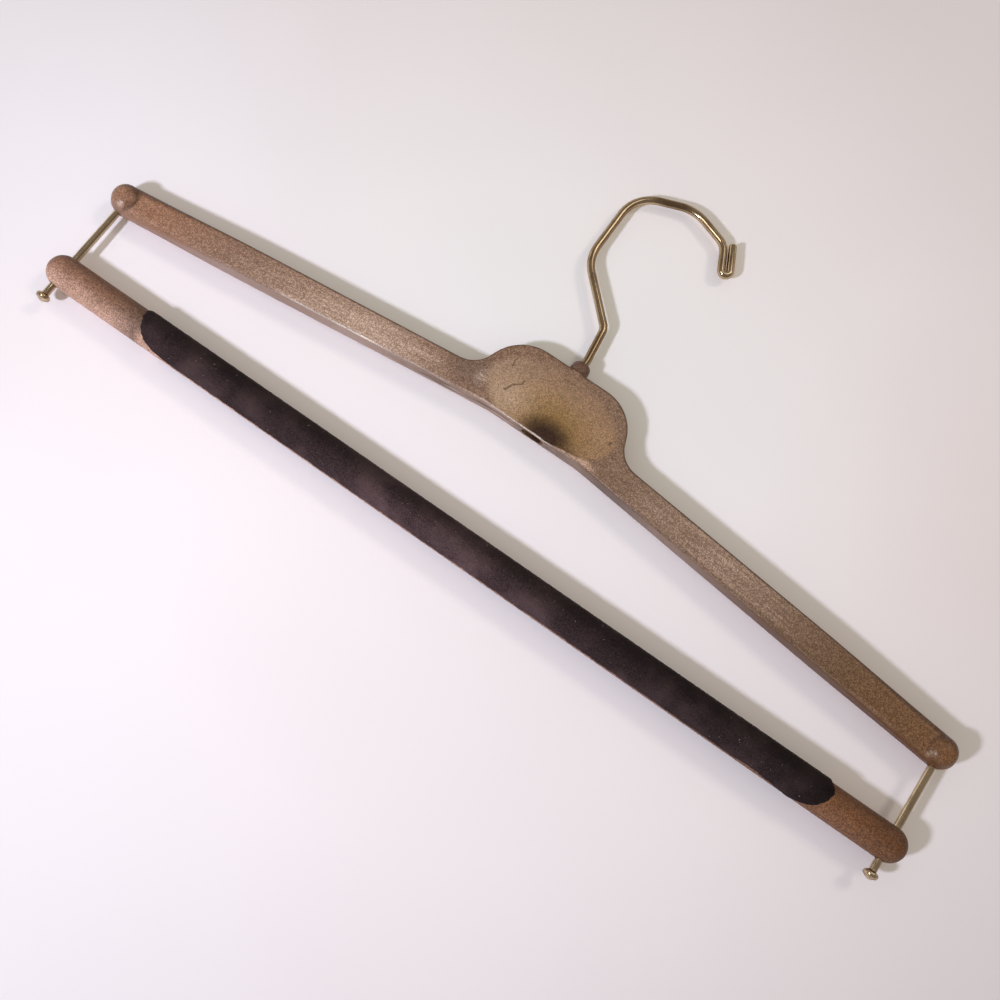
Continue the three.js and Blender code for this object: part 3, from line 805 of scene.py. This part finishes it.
# Colours of the moulding along x, and how strong its layers are there
# ARM_TONES grow paler towards the left end: partly the moulding's own tone, partly painted sheen from the key
# light
ARM_TONES = (
    (-215, (0.285, 0.155, 0.105)), (-190, (0.282, 0.142, 0.089)), (-150, (0.218, 0.124, 0.088)),
    (-110, (0.215, 0.122, 0.081)), (-40, (0.200, 0.113, 0.074)), (45, (0.18, 0.108, 0.072)),
    (150, (0.145, 0.082, 0.049)), (178, (0.150, 0.076, 0.038)), (215, (0.165, 0.078, 0.037)),
)
DISH_TONES = ((-30, (0.345, 0.228, 0.162)), (0, (0.325, 0.197, 0.105)), (30, (0.285, 0.166, 0.092)))
# Pale haze on the fronts: partly dust, partly painted sheen of the key light, strongest near x = -88
HAZE_AND_SHEEN_RUN = (
    (-200, 0.0), (-150, 0.16), (-110, 0.6), (-88, 0.95), (-65, 0.7), (-42, 0.12), (42, 0.06), (62, 0.24),
    (97, 0.42), (130, 0.13), (155, 0.0),
)
SCUFF_RUN = ((38, 0.1), (70, 0.7), (115, 0.5), (140, 0.0))
MARGIN_RUN = ((50, 0.0), (80, 0.8), (205, 0.5))
# Pale undersides: partly haze, partly painted sheen of the key light
UNDER_HAZE_AND_SHEEN_RUN = (
    (-215, 0.15), (-185, 0.22), (-150, 0.6), (-128, 0.42), (-110, 0.48), (-90, 0.72), (-70, 0.55), (-50, 0.2),
    (0, 0.1), (60, 0.3), (95, 0.22), (125, 0.0),
)
UNDER_SHADE_RUN = ((80, 0.0), (130, 0.45), (155, 0.3), (172, 0.85))
# Where the worn lower edges are pale: partly wear, partly painted highlight of the key light
WEAR_AND_HIGHLIGHT_RUN = ((-170, 0.3), (-90, 1.0), (0, 0.6), (120, 0.25))
# Where the underside right of the plaque is darkened with painted shade
ROOT_UNDER_SHADE_RUN = ((24, 0.0), (36, 0.6), (48, 0.5), (66, 0.0))
FOOT_RUN = ((-42, 0.0), (-32, 0.6), (-12, 0.6), (-6, 0.0))
SEAM_RUN = ((-80, 0.0), (-52, 1.0), (12, 1.0), (26, 0.0))
# Where the back lower rim and the lower front edges carry painted highlights
RIM_HIGHLIGHT_RUN = ((-150, 0.2), (-60, 0.7), (20, 0.7), (40, 0.25), (150, 0.15))
EDGE_HIGHLIGHT_RUN = (
    (-130, 0.0), (-114, 0.6), (-84, 0.95), (-68, 0.2), (-32, 0.1), (-21, 0.55), (6, 0.95), (10, 0.2),
    (30, 0.0),
)
# Tones of its layers
# Pale haze, partly painted sheen; the scuffs use it too
HAZE_AND_SHEEN = (0.46, 0.32, 0.255)
MARGIN = (0.10, 0.048, 0.028)
# Pale undersides, partly painted sheen
UNDER_HAZE_AND_SHEEN = (0.46, 0.33, 0.28)
UNDER_SHADE = (0.108, 0.040, 0.013)
UPPER_SHADE = (0.066, 0.036, 0.026)
# Worn edges, partly painted highlight
WEAR_AND_HIGHLIGHT = (0.50, 0.36, 0.29)
# Painted shade under the arm's root
ROOT_UNDER_SHADE = (0.075, 0.046, 0.037)
FOOT_PALE = (0.40, 0.265, 0.205)
# A seam: painted light on its ridges, painted shade in its creases
SEAM_RIDGE_LIGHT = (0.52, 0.39, 0.33)
SEAM_CREASE_SHADE = (0.085, 0.046, 0.036)
# Painted highlights on the back rim and the lower front edges
RIM_HIGHLIGHT = (0.66, 0.54, 0.47)
EDGE_HIGHLIGHT = (0.72, 0.61, 0.55)
# A ring of painted shade round each ball and painted shade on its inner side
BALL_RING_SHADE = (0.075, 0.036, 0.022)
BALL_SHADED_SIDE = (0.12, 0.056, 0.036)
NECK = (0.115, 0.060, 0.045)
BESIDE_DISH = (0.165, 0.104, 0.078)
PITTED = (0.40, 0.295, 0.24)
DISH_FOOT = (0.52, 0.335, 0.25)
DISH_CLOUD = (0.36, 0.235, 0.15)
# The dish's top in painted shade, and a pale patch with a painted highlight low on its left
DISH_TOP_SHADE = (0.21, 0.128, 0.087)
DISH_HAZE_AND_HIGHLIGHT = (0.47, 0.33, 0.23)
# The stained patch and its halo, darkened further with painted shade at the dish's foot
STAIN_AND_SHADE_HALO = (0.225, 0.128, 0.045)
STAIN_AND_SHADE = (0.040, 0.019, 0.0115)
SCRATCH = (0.07, 0.042, 0.028)
WHITE = (1.0, 1.0, 1.0)
ARM_GRAIN = ((0.15, (0.56, 0.52, 0.48)), (0.5, (0.95, 0.95, 0.94)), (0.85, (1.85, 1.95, 2.05)))
DISH_GRAIN = ((0.15, 0.53), (0.5, 1.0), (0.85, 1.58))
# Each ball boss: side, how dark its ring of painted shade is, the offset of its painted highlight (x, z) and
# that highlight's tone
BALL_MARKS = (
    (-1, 0.85, (1.7, -4.6), (0.54, 0.37, 0.30)),
    (1, 0.4, (-4.5, -4.1), (0.27, 0.18, 0.125)),
)
RUBBED_ROUGHNESS = 0.29
# Patches on the front: x, z, half width, half height, where the fade begins, strength, turn in degrees
BESIDE_PATCH = (-38, -119, 15, 11, 0.5, 0.75)
PITTED_PATCH = (-32, -120.5, 4, 5, 0.4, 0.8)
FOOT_PATCH = (20, -127.6, 12, 3.4, 0.6, 0.8)
# A pale patch with a painted highlight low in the dish
DISH_HAZE_AND_HIGHLIGHT_PATCH = (-15, -121, 15, 9, 0.2, 0.6)
# The halo, partly painted shade, and the painted shadow along the dish's sill
STAIN_AND_SHADE_HALO_PATCH = (5.5, -123, 22, 18, 0.3, 0.9)
SILL_SHADOW_PATCH = (13, -127.2, 11, 4.4, 0.2, 0.6, 8)
NICK_PATCH = (29.2, -113.3, 1.0, 1.4, 0.4, 1.0)
# A patch without its place, for the balls' painted highlights, and one without its fade, for the stained
# patch with its painted shade
BALL_SHINE = (2.3, 1.7, 0.2, 0.75, 40)
STAIN_AND_SHADE_SPOT = (4.6, -127.0, 14.5, 11, 6)
# Scratches: width and corners
SCRATCHES = (
    (0.5, ((-20.8, -118.8), (-19.4, -115.1), (-16.4, -112.6), (-16.2, -110.8))),
    (0.4, ((-24.1, -108.3), (-25, -105.9), (-24.2, -104.5))),
)


class BodyPaint(Paint):
    """Pressed wood fibre and resin: hazed and streaked arms with painted sheen, highlights and shade, a tan
    dish with a dark stained patch and painted shade at its foot.
    """

    def __init__(self):
        super().__init__("fibre_body")
        self.x, self.y, self.z = self.places
        self.down = self.both(self.facing[2], -1.0)
        self.ahead = self.both(self.facing[1], -1.0)
        self.width = self.math("ABSOLUTE", self.x)
        level = self.math("ADD", self.z, self.both(self.width, ARM_DROP))
        self.height = self.math("SUBTRACT", level, PLAQUE_BOTTOM + ARM_ROOT_X * ARM_DROP)
        self.speck = fibre_grain(self)
        self.cloud = self.noise(55, 3)
        lengthwise = self.node("CombineXYZ", X=self.both(self.x, 0.045), Z=self.both(self.height, 1.5))
        self.streak = self.noise(1.0, 3, coords=lengthwise.outputs[0])
        self.front = self.rising(self.ahead, 0.85, 0.99)
        self.below = self.rising(self.down, 0.6, 0.9)
        self.edge = self.both(self.math("ABSOLUTE", self.both(self.ahead, self.down)), 2.0)
        self.flat = self.wavy(300, 1.6)

    def run(self, stops):
        return self.along(self.x, *stops)

    def on_front(self, patch):
        return self.both(self.patch(self.flat, *patch), self.front)

    def arms(self):
        """Haze with painted sheen, scuffs and a dark margin along the arms, undersides painted pale with
        sheen and darker with shade, painted shade on the upper faces, worn edges partly painted highlight.
        """
        self.colour = self.run(ARM_TONES)
        lower = self.along(self.height, (6, 1.0), (11.5, 0.5))
        clear = self.math("MAXIMUM", self.rising(self.x, 0, 20), lower)
        streaked = self.along(self.streak, (0.3, 0.5), (0.65, 1.4))
        # Pale haze with painted sheen over the fronts
        self.cover(HAZE_AND_SHEEN, self.run(HAZE_AND_SHEEN_RUN), clear, self.front, streaked)
        scuffed = self.rising(self.streak, 0.54, 0.68, 0.6)
        self.cover(HAZE_AND_SHEEN, self.along(self.width, *SCUFF_RUN), scuffed, self.front)
        self.cover(MARGIN, self.run(MARGIN_RUN), self.falling(self.height, 0.3, 2.6), self.front)
        underneath = self.rising(self.down, 0.75, 0.97)
        # Undersides painted pale, partly as sheen of the key light
        self.cover(UNDER_HAZE_AND_SHEEN, self.run(UNDER_HAZE_AND_SHEEN_RUN), underneath)
        self.cover(UNDER_SHADE, self.run(UNDER_SHADE_RUN), underneath)
        self.cover(UPPER_SHADE, self.falling(self.down, -0.75, -0.12, 0.85))
        # Worn lower edges, partly a painted highlight where the key light falls on them
        worn = self.both(self.rising(self.edge, 0.6, 0.95, 0.55), self.rising(self.down, -0.1, 0.1))
        self.cover(WEAR_AND_HIGHLIGHT, self.run(WEAR_AND_HIGHLIGHT_RUN), worn, self.along(self.cloud, (0.42, 0.2), (0.62, 1.0)))

    def underside(self):
        """The lower edge at the plaque: painted shade underneath to its right, a pale run, a seam with
        painted light on its ridges and painted shade in its creases, and a painted highlight on the back rim.
        """
        # Painted shade on the underside right of the plaque
        self.cover(ROOT_UNDER_SHADE, self.below, self.run(ROOT_UNDER_SHADE_RUN))
        self.cover(FOOT_PALE, self.below, self.run(FOOT_RUN))
        seam = self.node("CombineXYZ", X=self.both(self.x, 0.06), Y=self.both(self.y, 0.5)).outputs[0]
        ridge = self.noise(1.0, 3, 0.6, coords=seam)
        lined = self.both(self.below, self.run(SEAM_RUN))
        # The seam's ridges painted light
        self.cover(SEAM_RIDGE_LIGHT, lined, self.rising(ridge, 0.5, 0.6, 0.6))
        middle = self.along(self.y, (-3.8, 0.0), (-1.8, 1.0), (1.2, 1.0), (3.2, 0.0))
        # The seam's creases painted shade
        self.cover(SEAM_CREASE_SHADE, lined, middle, self.along(ridge, (0.36, 0.95), (0.58, 0.1)))
        # A painted highlight on the back lower rim
        self.cover(RIM_HIGHLIGHT, self.run(RIM_HIGHLIGHT_RUN), self.rising(self.y, 3.4, 4.3), self.rising(self.down, 0.35, 0.65))

    def bosses(self):
        """A ring of painted shade, painted shade on the inner side and a painted highlight on each ball;
        gives the mask of both crowns.
        """
        crowns = []
        for side, depth, (shine_x, shine_z), tone in BALL_MARKS:
            outward = self.both(self.x, side)
            seat = self.spot(self.wavy(500, 0.5), side * BALL_X, BALL_Z, BALL_RADIUS, BALL_RADIUS)
            ring = self.along(seat, (0.74, 0.0), (0.87, depth), (0.95, 0.8 * depth), (1.06, 0.0))
            # A ring of painted shade round the ball
            self.cover(BALL_RING_SHADE, ring, self.falling(outward, BALL_X - 6, BALL_X + 3))
            crown = self.falling(seat, 0.7, 0.95)
            # Painted shade on the ball's inner side, away from the key light
            self.cover(BALL_SHADED_SIDE, crown, self.falling(outward, BALL_X - 5, BALL_X + 1, 0.6 * depth))
            place = (side * BALL_X + shine_x, BALL_Z + shine_z)
            # A painted highlight where the key light's reflection falls on the ball
            self.cover(tone, self.patch(self.wavy(500, 0.9), *place, *BALL_SHINE))
            crowns.append(crown)
        return self.math("MAXIMUM", *crowns)

    def plaque(self):
        """The collar and the places round the dish."""
        self.cover(NECK, self.rising(self.z, PLAQUE_TOP - 0.6, PLAQUE_TOP + 0.8, 0.75))
        self.cover(BESIDE_DISH, self.on_front(BESIDE_PATCH))
        self.cover(PITTED, self.on_front(PITTED_PATCH), self.along(self.streak, (0.4, 0.2), (0.55, 1.0)))
        self.cover(DISH_FOOT, self.on_front(FOOT_PATCH))

    def grain(self):
        """A painted highlight along the lower front edges, then the grain, which is calmer underneath."""
        # A painted highlight where the key light's reflection falls on the lower front edges
        self.cover(
            EDGE_HIGHLIGHT, self.run(EDGE_HIGHLIGHT_RUN), self.rising(self.edge, 0.65, 0.95, 0.95),
            self.rising(self.down, 0.1, 0.3), self.rising(self.ahead, 0.1, 0.3),
            self.along(self.streak, (0.3, 0.6), (0.6, 1.1)),
        )
        self.tint(self.mix(self.both(self.below, 0.65), self.along(self.speck, *ARM_GRAIN), WHITE))

    def dish(self):
        """The tan dish above its sill, painted darker at its top, with a pale patch and painted highlight low
        on its left, and the stained patch and its halo with painted shade and a painted shadow along the
        sill.
        """
        bowl = self.spot(self.flat, 0, DISH_Z, DISH_HALF_WIDTH, DISH_HALF_HEIGHT)
        slope = self.both(self.math("SUBTRACT", self.x, SILL_START_X), SILL_SLOPE)
        sill = self.math("SUBTRACT", self.math("SUBTRACT", self.z, slope), SILL_START_Z)
        # The stained patch, partly painted shade at the dish's foot
        stain_shade_mask = self.along(self.spot(self.flat, *STAIN_AND_SHADE_SPOT), (0.35, 1.0), (0.6, 0.75), (1.0, 0.0))
        tan = self.run(DISH_TONES)
        # The dish's cloud, painted shade at its top, a pale patch with a painted highlight, and the stained
        # patch and its halo with painted shade and the sill's painted shadow
        for tone, share in (
            (DISH_CLOUD, self.rising(self.cloud, 0.35, 0.65, 0.25)),
            (DISH_TOP_SHADE, self.rising(self.z, -113, -98, 0.8)),
            (DISH_HAZE_AND_HIGHLIGHT, self.patch(self.flat, *DISH_HAZE_AND_HIGHLIGHT_PATCH)),
            (STAIN_AND_SHADE_HALO, self.patch(self.flat, *STAIN_AND_SHADE_HALO_PATCH)),
            (STAIN_AND_SHADE, self.math("MAXIMUM", stain_shade_mask, self.patch(self.flat, *SILL_SHADOW_PATCH))),
        ):
            tan = self.mix(share, tan, tone)
        tan = self.mix(1.0, tan, self.along(self.speck, *DISH_GRAIN), "MULTIPLY")
        inside = self.both(self.falling(bowl, 0.9, 1.0), self.rising(sill, 0.2, 0.9))
        self.cover(tan, inside, self.rising(self.ahead, 0.75, 0.95))

    def marks(self):
        """Two scratches and a nick; gives their mask."""
        marks = self.patch(self.flat, *NICK_PATCH)
        for width, corners in SCRATCHES:
            marks = self.math("MAXIMUM", marks, self.stroke(self.flat, width, *corners))
        marks = self.both(marks, self.front)
        self.cover(SCRATCH, marks, 0.7)
        return marks


def body_paint():
    paint = BodyPaint()
    paint.arms()
    paint.underside()
    rubbed = paint.bosses()
    paint.plaque()
    paint.grain()
    paint.dish()
    relief = paint.math("SUBTRACT", paint.speck, paint.marks())
    satin = paint.along(paint.speck, (0.2, 0.34), (0.8, 0.50))
    roughness = paint.mix(rubbed, satin, (RUBBED_ROUGHNESS,) * 3)
    return paint.finish(Roughness=roughness, Normal=paint.bump(relief, 0.10, 0.2), Specular_IOR_Level=0.17)


# BAR_TONES grow paler towards the left end: partly the fibre's own tone, partly painted sheen from the key
# light
BAR_TONES = (
    (-216, (0.255, 0.130, 0.090)), (-160, (0.225, 0.120, 0.081)), (160, (0.150, 0.062, 0.026)),
    (190, (0.145, 0.060, 0.025)), (203, (0.112, 0.044, 0.017)), (216, (0.105, 0.041, 0.016)),
)
BAR_SOIL_RUN = ((-181, 0.0), (-170, 0.45), (-164, 0.7), (-160, 0.0))
# Painted sheen on the lower side and painted shade on the top
BAR_LOW_SHEEN = (0.52, 0.32, 0.245)
BAR_TOP_SHADE = (0.105, 0.052, 0.034)
BAR_CLOUD = (0.15, 0.075, 0.045)
BAR_SOIL = (0.10, 0.06, 0.048)
BAR_GRAIN = ((0.15, 0.38), (0.5, 1.0), (0.85, 1.85))


def bar_paint():
    """The same fibre, bare and more orange at the bar's ends, painted paler underneath as sheen and darker on
    top as shade.
    """
    paint = Paint("fibre_bar")
    x, up = paint.places[0], paint.facing[2]
    speck = fibre_grain(paint)
    paint.colour = paint.along(x, *BAR_TONES)
    # Painted sheen on the lower side, strongest at the left end
    paint.cover(BAR_LOW_SHEEN, paint.falling(up, -0.85, 0.0, 0.95), paint.along(x, (-150, 1.0), (150, 0.1)))
    # Painted shade on the top
    paint.cover(BAR_TOP_SHADE, paint.rising(up, 0.1, 0.8, 0.55))
    paint.cover(BAR_CLOUD, paint.rising(paint.noise(90, 3), 0.45, 0.7, 0.35))
    paint.cover(BAR_SOIL, paint.along(x, *BAR_SOIL_RUN))
    paint.tint(paint.along(speck, *BAR_GRAIN))
    roughness = paint.along(speck, (0.2, 0.5), (0.8, 0.65))
    return paint.finish(Roughness=roughness, Normal=paint.bump(speck, 0.12, 0.25), Specular_IOR_Level=0.2)


# The wire is painted dull on the side that faces this way (x, z), a painted dark reflection, apart from the
# folded tip
DARK_REFLECTION_SIDE = (0.75, 0.45)
FOLDED_TIP = (23, -10, 10, 15)
# Places on the hook painted dull: at the top of the bow, and on the stem as a painted dark reflection of the
# body beside it
HOOK_DULL_PLACES = ((-11, 0, 12, 6), (-1, -79, 6, 11))


def metal_paint(name, colour, dull, roughness, dull_places=()):
    """Plated wire: drawn along its length, with a little tarnish, painted dull at the given places and on one
    side as a dark reflection.
    """
    paint = Paint(name)
    drawn = paint.noise(1.0, 2, coords=paint.stretched(1400, 1400, 45))
    spots = paint.noise(160, 3)
    flat = paint.wavy(200, 3.0)
    paint.colour = colour
    paint.cover(dull, paint.rising(spots, 0.45, 0.7, 0.75))
    paint.cover(dull, paint.rising(drawn, 0.45, 0.8, 0.25))
    # Places painted dull, partly as dark reflections
    for place in dull_places:
        paint.cover(dull, paint.patch(flat, *place, 0.5, 0.85))
    # One side painted dull as a dark reflection
    side = paint.weighted(paint.facing[0], DARK_REFLECTION_SIDE[0], paint.facing[2], DARK_REFLECTION_SIDE[1])
    beyond_tip = paint.rising(paint.spot(flat, *FOLDED_TIP), 0.8, 1.0)
    paint.cover(dull, paint.rising(side, 0.25, 0.6, 0.8), beyond_tip)
    rough = paint.along(spots, (0.35, roughness), (0.75, roughness + 0.1))
    bump = paint.bump(drawn, 0.004, 0.15)
    return paint.finish(Metallic=1.0, Roughness=rough, Normal=bump, Specular_Tint=(0.30, 0.235, 0.18))


NAP_DEEP = (0.008, 0.004, 0.005)
NAP_TIPS = (0.048, 0.030, 0.033)
BRUSHED_DEEP = (0.045, 0.025, 0.028)
BRUSHED_TIPS = (0.085, 0.055, 0.058)
# Painted shine on the nap: brighter underneath, darker on top, and more or less so along the bar
FLOCK_SHINE_RUN = (
    (-165, 0.95), (-100, 0.8), (-45, 1.35), (0, 1.55), (50, 0.95), (100, 0.7), (150, 0.75), (175, 0.4),
)
FLOCK_SHINE_ROUND = ((-0.75, 1.3), (-0.17, 1.0), (0.34, 0.65))


def flock_paint():
    """Velvet nap: near black, darkest on top with painted shade, brown-purple where it is brushed, and
    painted brighter underneath as shine.
    """
    paint = Paint("flock")
    nap = paint.noise(2300, 3)
    paint.colour = paint.along(nap, (0.3, NAP_DEEP), (0.7, NAP_TIPS))
    brushed = paint.rising(paint.noise(70, 3), 0.42, 0.7, 0.85)
    paint.cover(paint.mix(nap, BRUSHED_DEEP, BRUSHED_TIPS), brushed)
    # Painted shine: the nap brighter underneath and darker on top
    round_bar = paint.along(paint.facing[2], *FLOCK_SHINE_ROUND)
    paint.tint(paint.both(paint.along(paint.places[0], *FLOCK_SHINE_RUN), round_bar))
    return paint.finish(
        Roughness=0.95, Normal=paint.bump(nap, 0.22, 0.6), Specular_IOR_Level=0.1, Sheen_Weight=0.1,
        Sheen_Roughness=0.4, Sheen_Tint=(0.65, 0.5, 0.52),
    )


def lint_paint():
    paint = Paint("lint")
    paint.colour = paint.along(paint.noise(400, 2), (0.35, (0.10, 0.07, 0.07)), (0.65, (0.30, 0.25, 0.24)))
    return paint.finish(Roughness=0.9)


def dress(obj, material, body, slot, *nodes):
    obj.data.materials.clear()
    obj.data.materials.append(material)
    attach(obj, body)
    if nodes:
        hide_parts(*nodes)


hook_brass = metal_paint("hook_brass", (0.60, 0.465, 0.305), (0.27, 0.185, 0.11), 0.10, HOOK_DULL_PLACES)
rod_brass = metal_paint("rod_brass", (0.72, 0.585, 0.405), (0.38, 0.29, 0.19), 0.13)
washer_steel = metal_paint("washer_steel", (0.45, 0.44, 0.42), (0.22, 0.20, 0.18), 0.35)
dress(shoulder_body(), body_paint(), "shoulders", "moulded_fibre", "shoulder_body")
dress(wire_hook(), hook_brass, "hook", "hook_wire", "hook")
dress(guide_rod("guide_rod_left", -ROD_X), rod_brass, "shoulders", "rod_metal", "left_guide_rod")
dress(guide_rod("guide_rod_right", ROD_X), rod_brass, "shoulders", "rod_metal", "right_guide_rod")
dress(turned_bar(), bar_paint(), "bar", "moulded_fibre", "trouser_bar")
dress(flock_skin(), flock_paint(), "bar", "flock", "flock_cover")
dress(flock_lint(), lint_paint(), "bar", "flock")
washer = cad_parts["hook_washer"]
washer.data.materials.clear()
washer.data.materials.append(washer_steel)


# Paper that the hanger lies on, a little tilted to its back
PAPER_GAP = 7.98
PAPER_SLOPE_X = 0.0036
PAPER_SLOPE_Z = -0.0227
PAPER_PIVOT_Z = -150
PAPER_HALF_SIZE = 3000.0
PAPER_TONES = ((0.3, (0.865, 0.812, 0.868)), (0.7, (0.885, 0.832, 0.888)))
# Painted falloff of light: it darkens towards one side (weights of x and z) and outward from a centre
PAPER_FALL_WEIGHTS = (0.57, 0.82)
PAPER_FALL = ((-90, 1.005), (130, 1.0), (360, 0.84))
PAPER_CENTRE = (4.7, 0, -159)
PAPER_OUTWARD = ((0, 1.0), (150, 1.0), (215, 0.95), (310, 0.89))
# Tinted patches: x, z, half width, half height; and their tint
PAPER_TINTS = (
    ((-20, -70, 190, 110), (0.948, 0.988, 0.972)),
    ((190, -45, 110, 120), (0.955, 0.935, 0.92)),
    ((-265, -111, 120, 120), (1.04, 1.065, 1.09)),
)


def paper_sheet():
    corners = []
    for x, z in ((-1, -1), (1, -1), (1, 1), (-1, 1)):
        x, z = x * PAPER_HALF_SIZE, z * PAPER_HALF_SIZE
        corners.append((x, PAPER_GAP + PAPER_SLOPE_X * x + PAPER_SLOPE_Z * (z - PAPER_PIVOT_Z), z))
    obj = add_faces("paper", corners, [range(len(corners))])
    paint = Paint("paper")
    paint.colour = paint.ramp(paint.noise(9, 2), *PAPER_TONES)
    x, _, z = paint.places
    fall = paint.weighted(x, PAPER_FALL_WEIGHTS[0], z, -PAPER_FALL_WEIGHTS[1])
    # Painted falloff of light towards one side and outward from the centre
    paint.tint(paint.along(fall, *PAPER_FALL))
    flat = paint.node("CombineXYZ", X=x, Z=z).outputs[0]
    paint.tint(paint.along(paint.vector("DISTANCE", flat, PAPER_CENTRE)["Value"], *PAPER_OUTWARD))
    for patch, tone in PAPER_TINTS:
        paint.tint(paint.mix(paint.patch(flat, *patch, 0.2, 1.0), WHITE, tone))
    sheet = paint.node("BsdfDiffuse", Color=paint.colour).outputs[0]
    clear = paint.node("BsdfTransparent").outputs[0]
    behind = paint.node("NewGeometry").outputs["Backfacing"]
    obj.data.materials.append(paint.show(paint.node("MixShader", None, behind, sheet, clear)))
    obj.visible_shadow = False
    obj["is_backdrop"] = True


# The room: its tone where it is seen, its light and how strong that is
ROOM_SEEN = (0.52, 0.485, 0.46)
ROOM_LIGHT = (1.0, 0.965, 0.80)
ROOM_LIGHT_BEHIND = 0.2
ROOM_LIGHT_FRONT = 0.6


def surroundings():
    world = bpy.data.worlds.new("room")
    scene.world = world
    world.use_nodes = True
    room = Nodes(world.node_tree)
    towards = room.node("TexCoord").outputs["Generated"]
    back = room.node("SeparateXYZ", Vector=towards).outputs[1]
    strength = room.node("MapRange", Value=back, From_Min=0.0, From_Max=-1.0, To_Min=ROOM_LIGHT_BEHIND,
                         To_Max=ROOM_LIGHT_FRONT).outputs[0]
    light = room.node("Background", Color=ROOM_LIGHT, Strength=strength).outputs[0]
    seen = room.node("Background", Color=ROOM_SEEN).outputs[0]
    rays = room.node("LightPath").outputs
    share = rays["Is Camera Ray"]
    for ray in ("Is Glossy Ray", "Is Transmission Ray"):
        share = room.math("MAXIMUM", share, rays[ray])
    mixed = room.node("MixShader", None, share, light, seen).outputs[0]
    room.node("OutputWorld", Surface=mixed)


MIDDLE = Vector((0, 0, -150))


def lamp(name, place, size, power, colour):
    """A round lamp of that size in metres that is aimed at the hanger's middle."""
    data = bpy.data.lights.new(name, "AREA")
    data.shape = "DISK"
    data.size = size
    data.energy = power
    data.color = colour
    obj = add_object(name, data)
    obj.location = Vector(place) * MM
    obj.rotation_euler = (MIDDLE - Vector(place)).to_track_quat("-Z", "Y").to_euler()
    obj.visible_camera = False


paper_sheet()
surroundings()
lamp("key", (-270, -610, -707), 0.09, 5.45, (0.86, 0.88, 1.0))
lamp("second", (900, -1740, 1140), 0.5, 9.0, (1.0, 0.86, 0.70))
lamp("back", (250, 1300, 250), 0.7, 14.0, (1.0, 0.96, 0.92))


# Camera of the photograph
CAMERA_PLACE = Vector((54.09, -435.15, -257.84))
CAMERA_AIM = Vector((4.72, 0, -158.98))
CAMERA_ROLL = math.radians(35.797)
CAMERA_CLIP = 0.01
FOCAL_PIXELS = 1072
PICTURE_PIXELS = 1000

camera = bpy.data.cameras.new("camera")
camera.sensor_fit = "HORIZONTAL"
camera.lens = camera.sensor_width * FOCAL_PIXELS / PICTURE_PIXELS
camera.clip_start = CAMERA_CLIP
view = add_object("camera", camera)
turn = (CAMERA_AIM - CAMERA_PLACE).to_track_quat("-Z", "Y").to_matrix() @ Matrix.Rotation(CAMERA_ROLL, 3, "Z")
view.matrix_world = Matrix.Translation(CAMERA_PLACE * MM) @ turn.to_4x4()
scene.camera = view


CARD_SPOKES = 48


def card(name, place, wide, tall, colour, glow):
    """An oval card of that half width and half height; it faces the hanger and shows only as a reflection."""
    spokes = np.linspace(0, math.tau, CARD_SPOKES, endpoint=False)
    rim = [(wide * math.cos(a), tall * math.sin(a), 0) for a in spokes]
    obj = add_faces(name, rim, [range(len(rim))])
    away = (MIDDLE - place).to_track_quat("-Z", "Y").to_matrix()
    obj.matrix_world = Matrix.Translation(place * MM) @ away.to_4x4()
    paint = Paint(name)
    obj.data.materials.append(paint.show(paint.node("Emission", Color=colour, Strength=glow)))
    for kind in ("camera", "diffuse", "transmission", "volume_scatter", "shadow"):
        setattr(obj, "visible_" + kind, False)
    obj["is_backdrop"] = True


# The dim room behind the camera, its two windows and a pale wall, as the metal shows them
ROOM_DISTANCE = 750
ROOM_GLOW = (1.0, 0.86, 0.74)
WINDOW_GLOW = (1.0, 0.95, 0.86)
WALL_GLOW = (1.0, 0.93, 0.80)
sight = (CAMERA_PLACE - MIDDLE).normalized()
card("dim_room", MIDDLE + sight * ROOM_DISTANCE, 3000, 3000, ROOM_GLOW, 0.22)
card("high_window", Vector((120, -640, 290)), 170, 170, WINDOW_GLOW, 1.4)
card("left_wall", Vector((-1300, -300, 190)), 300, 110, WALL_GLOW, 1.3)
card("low_window", Vector((-290, -640, -255)), 140, 140, WINDOW_GLOW, 4.0)

boxes = {"cad": cad_box, "visual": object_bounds()}
{name: [[float(v) for v in corner] for corner in box] for name, box in boxes.items()}
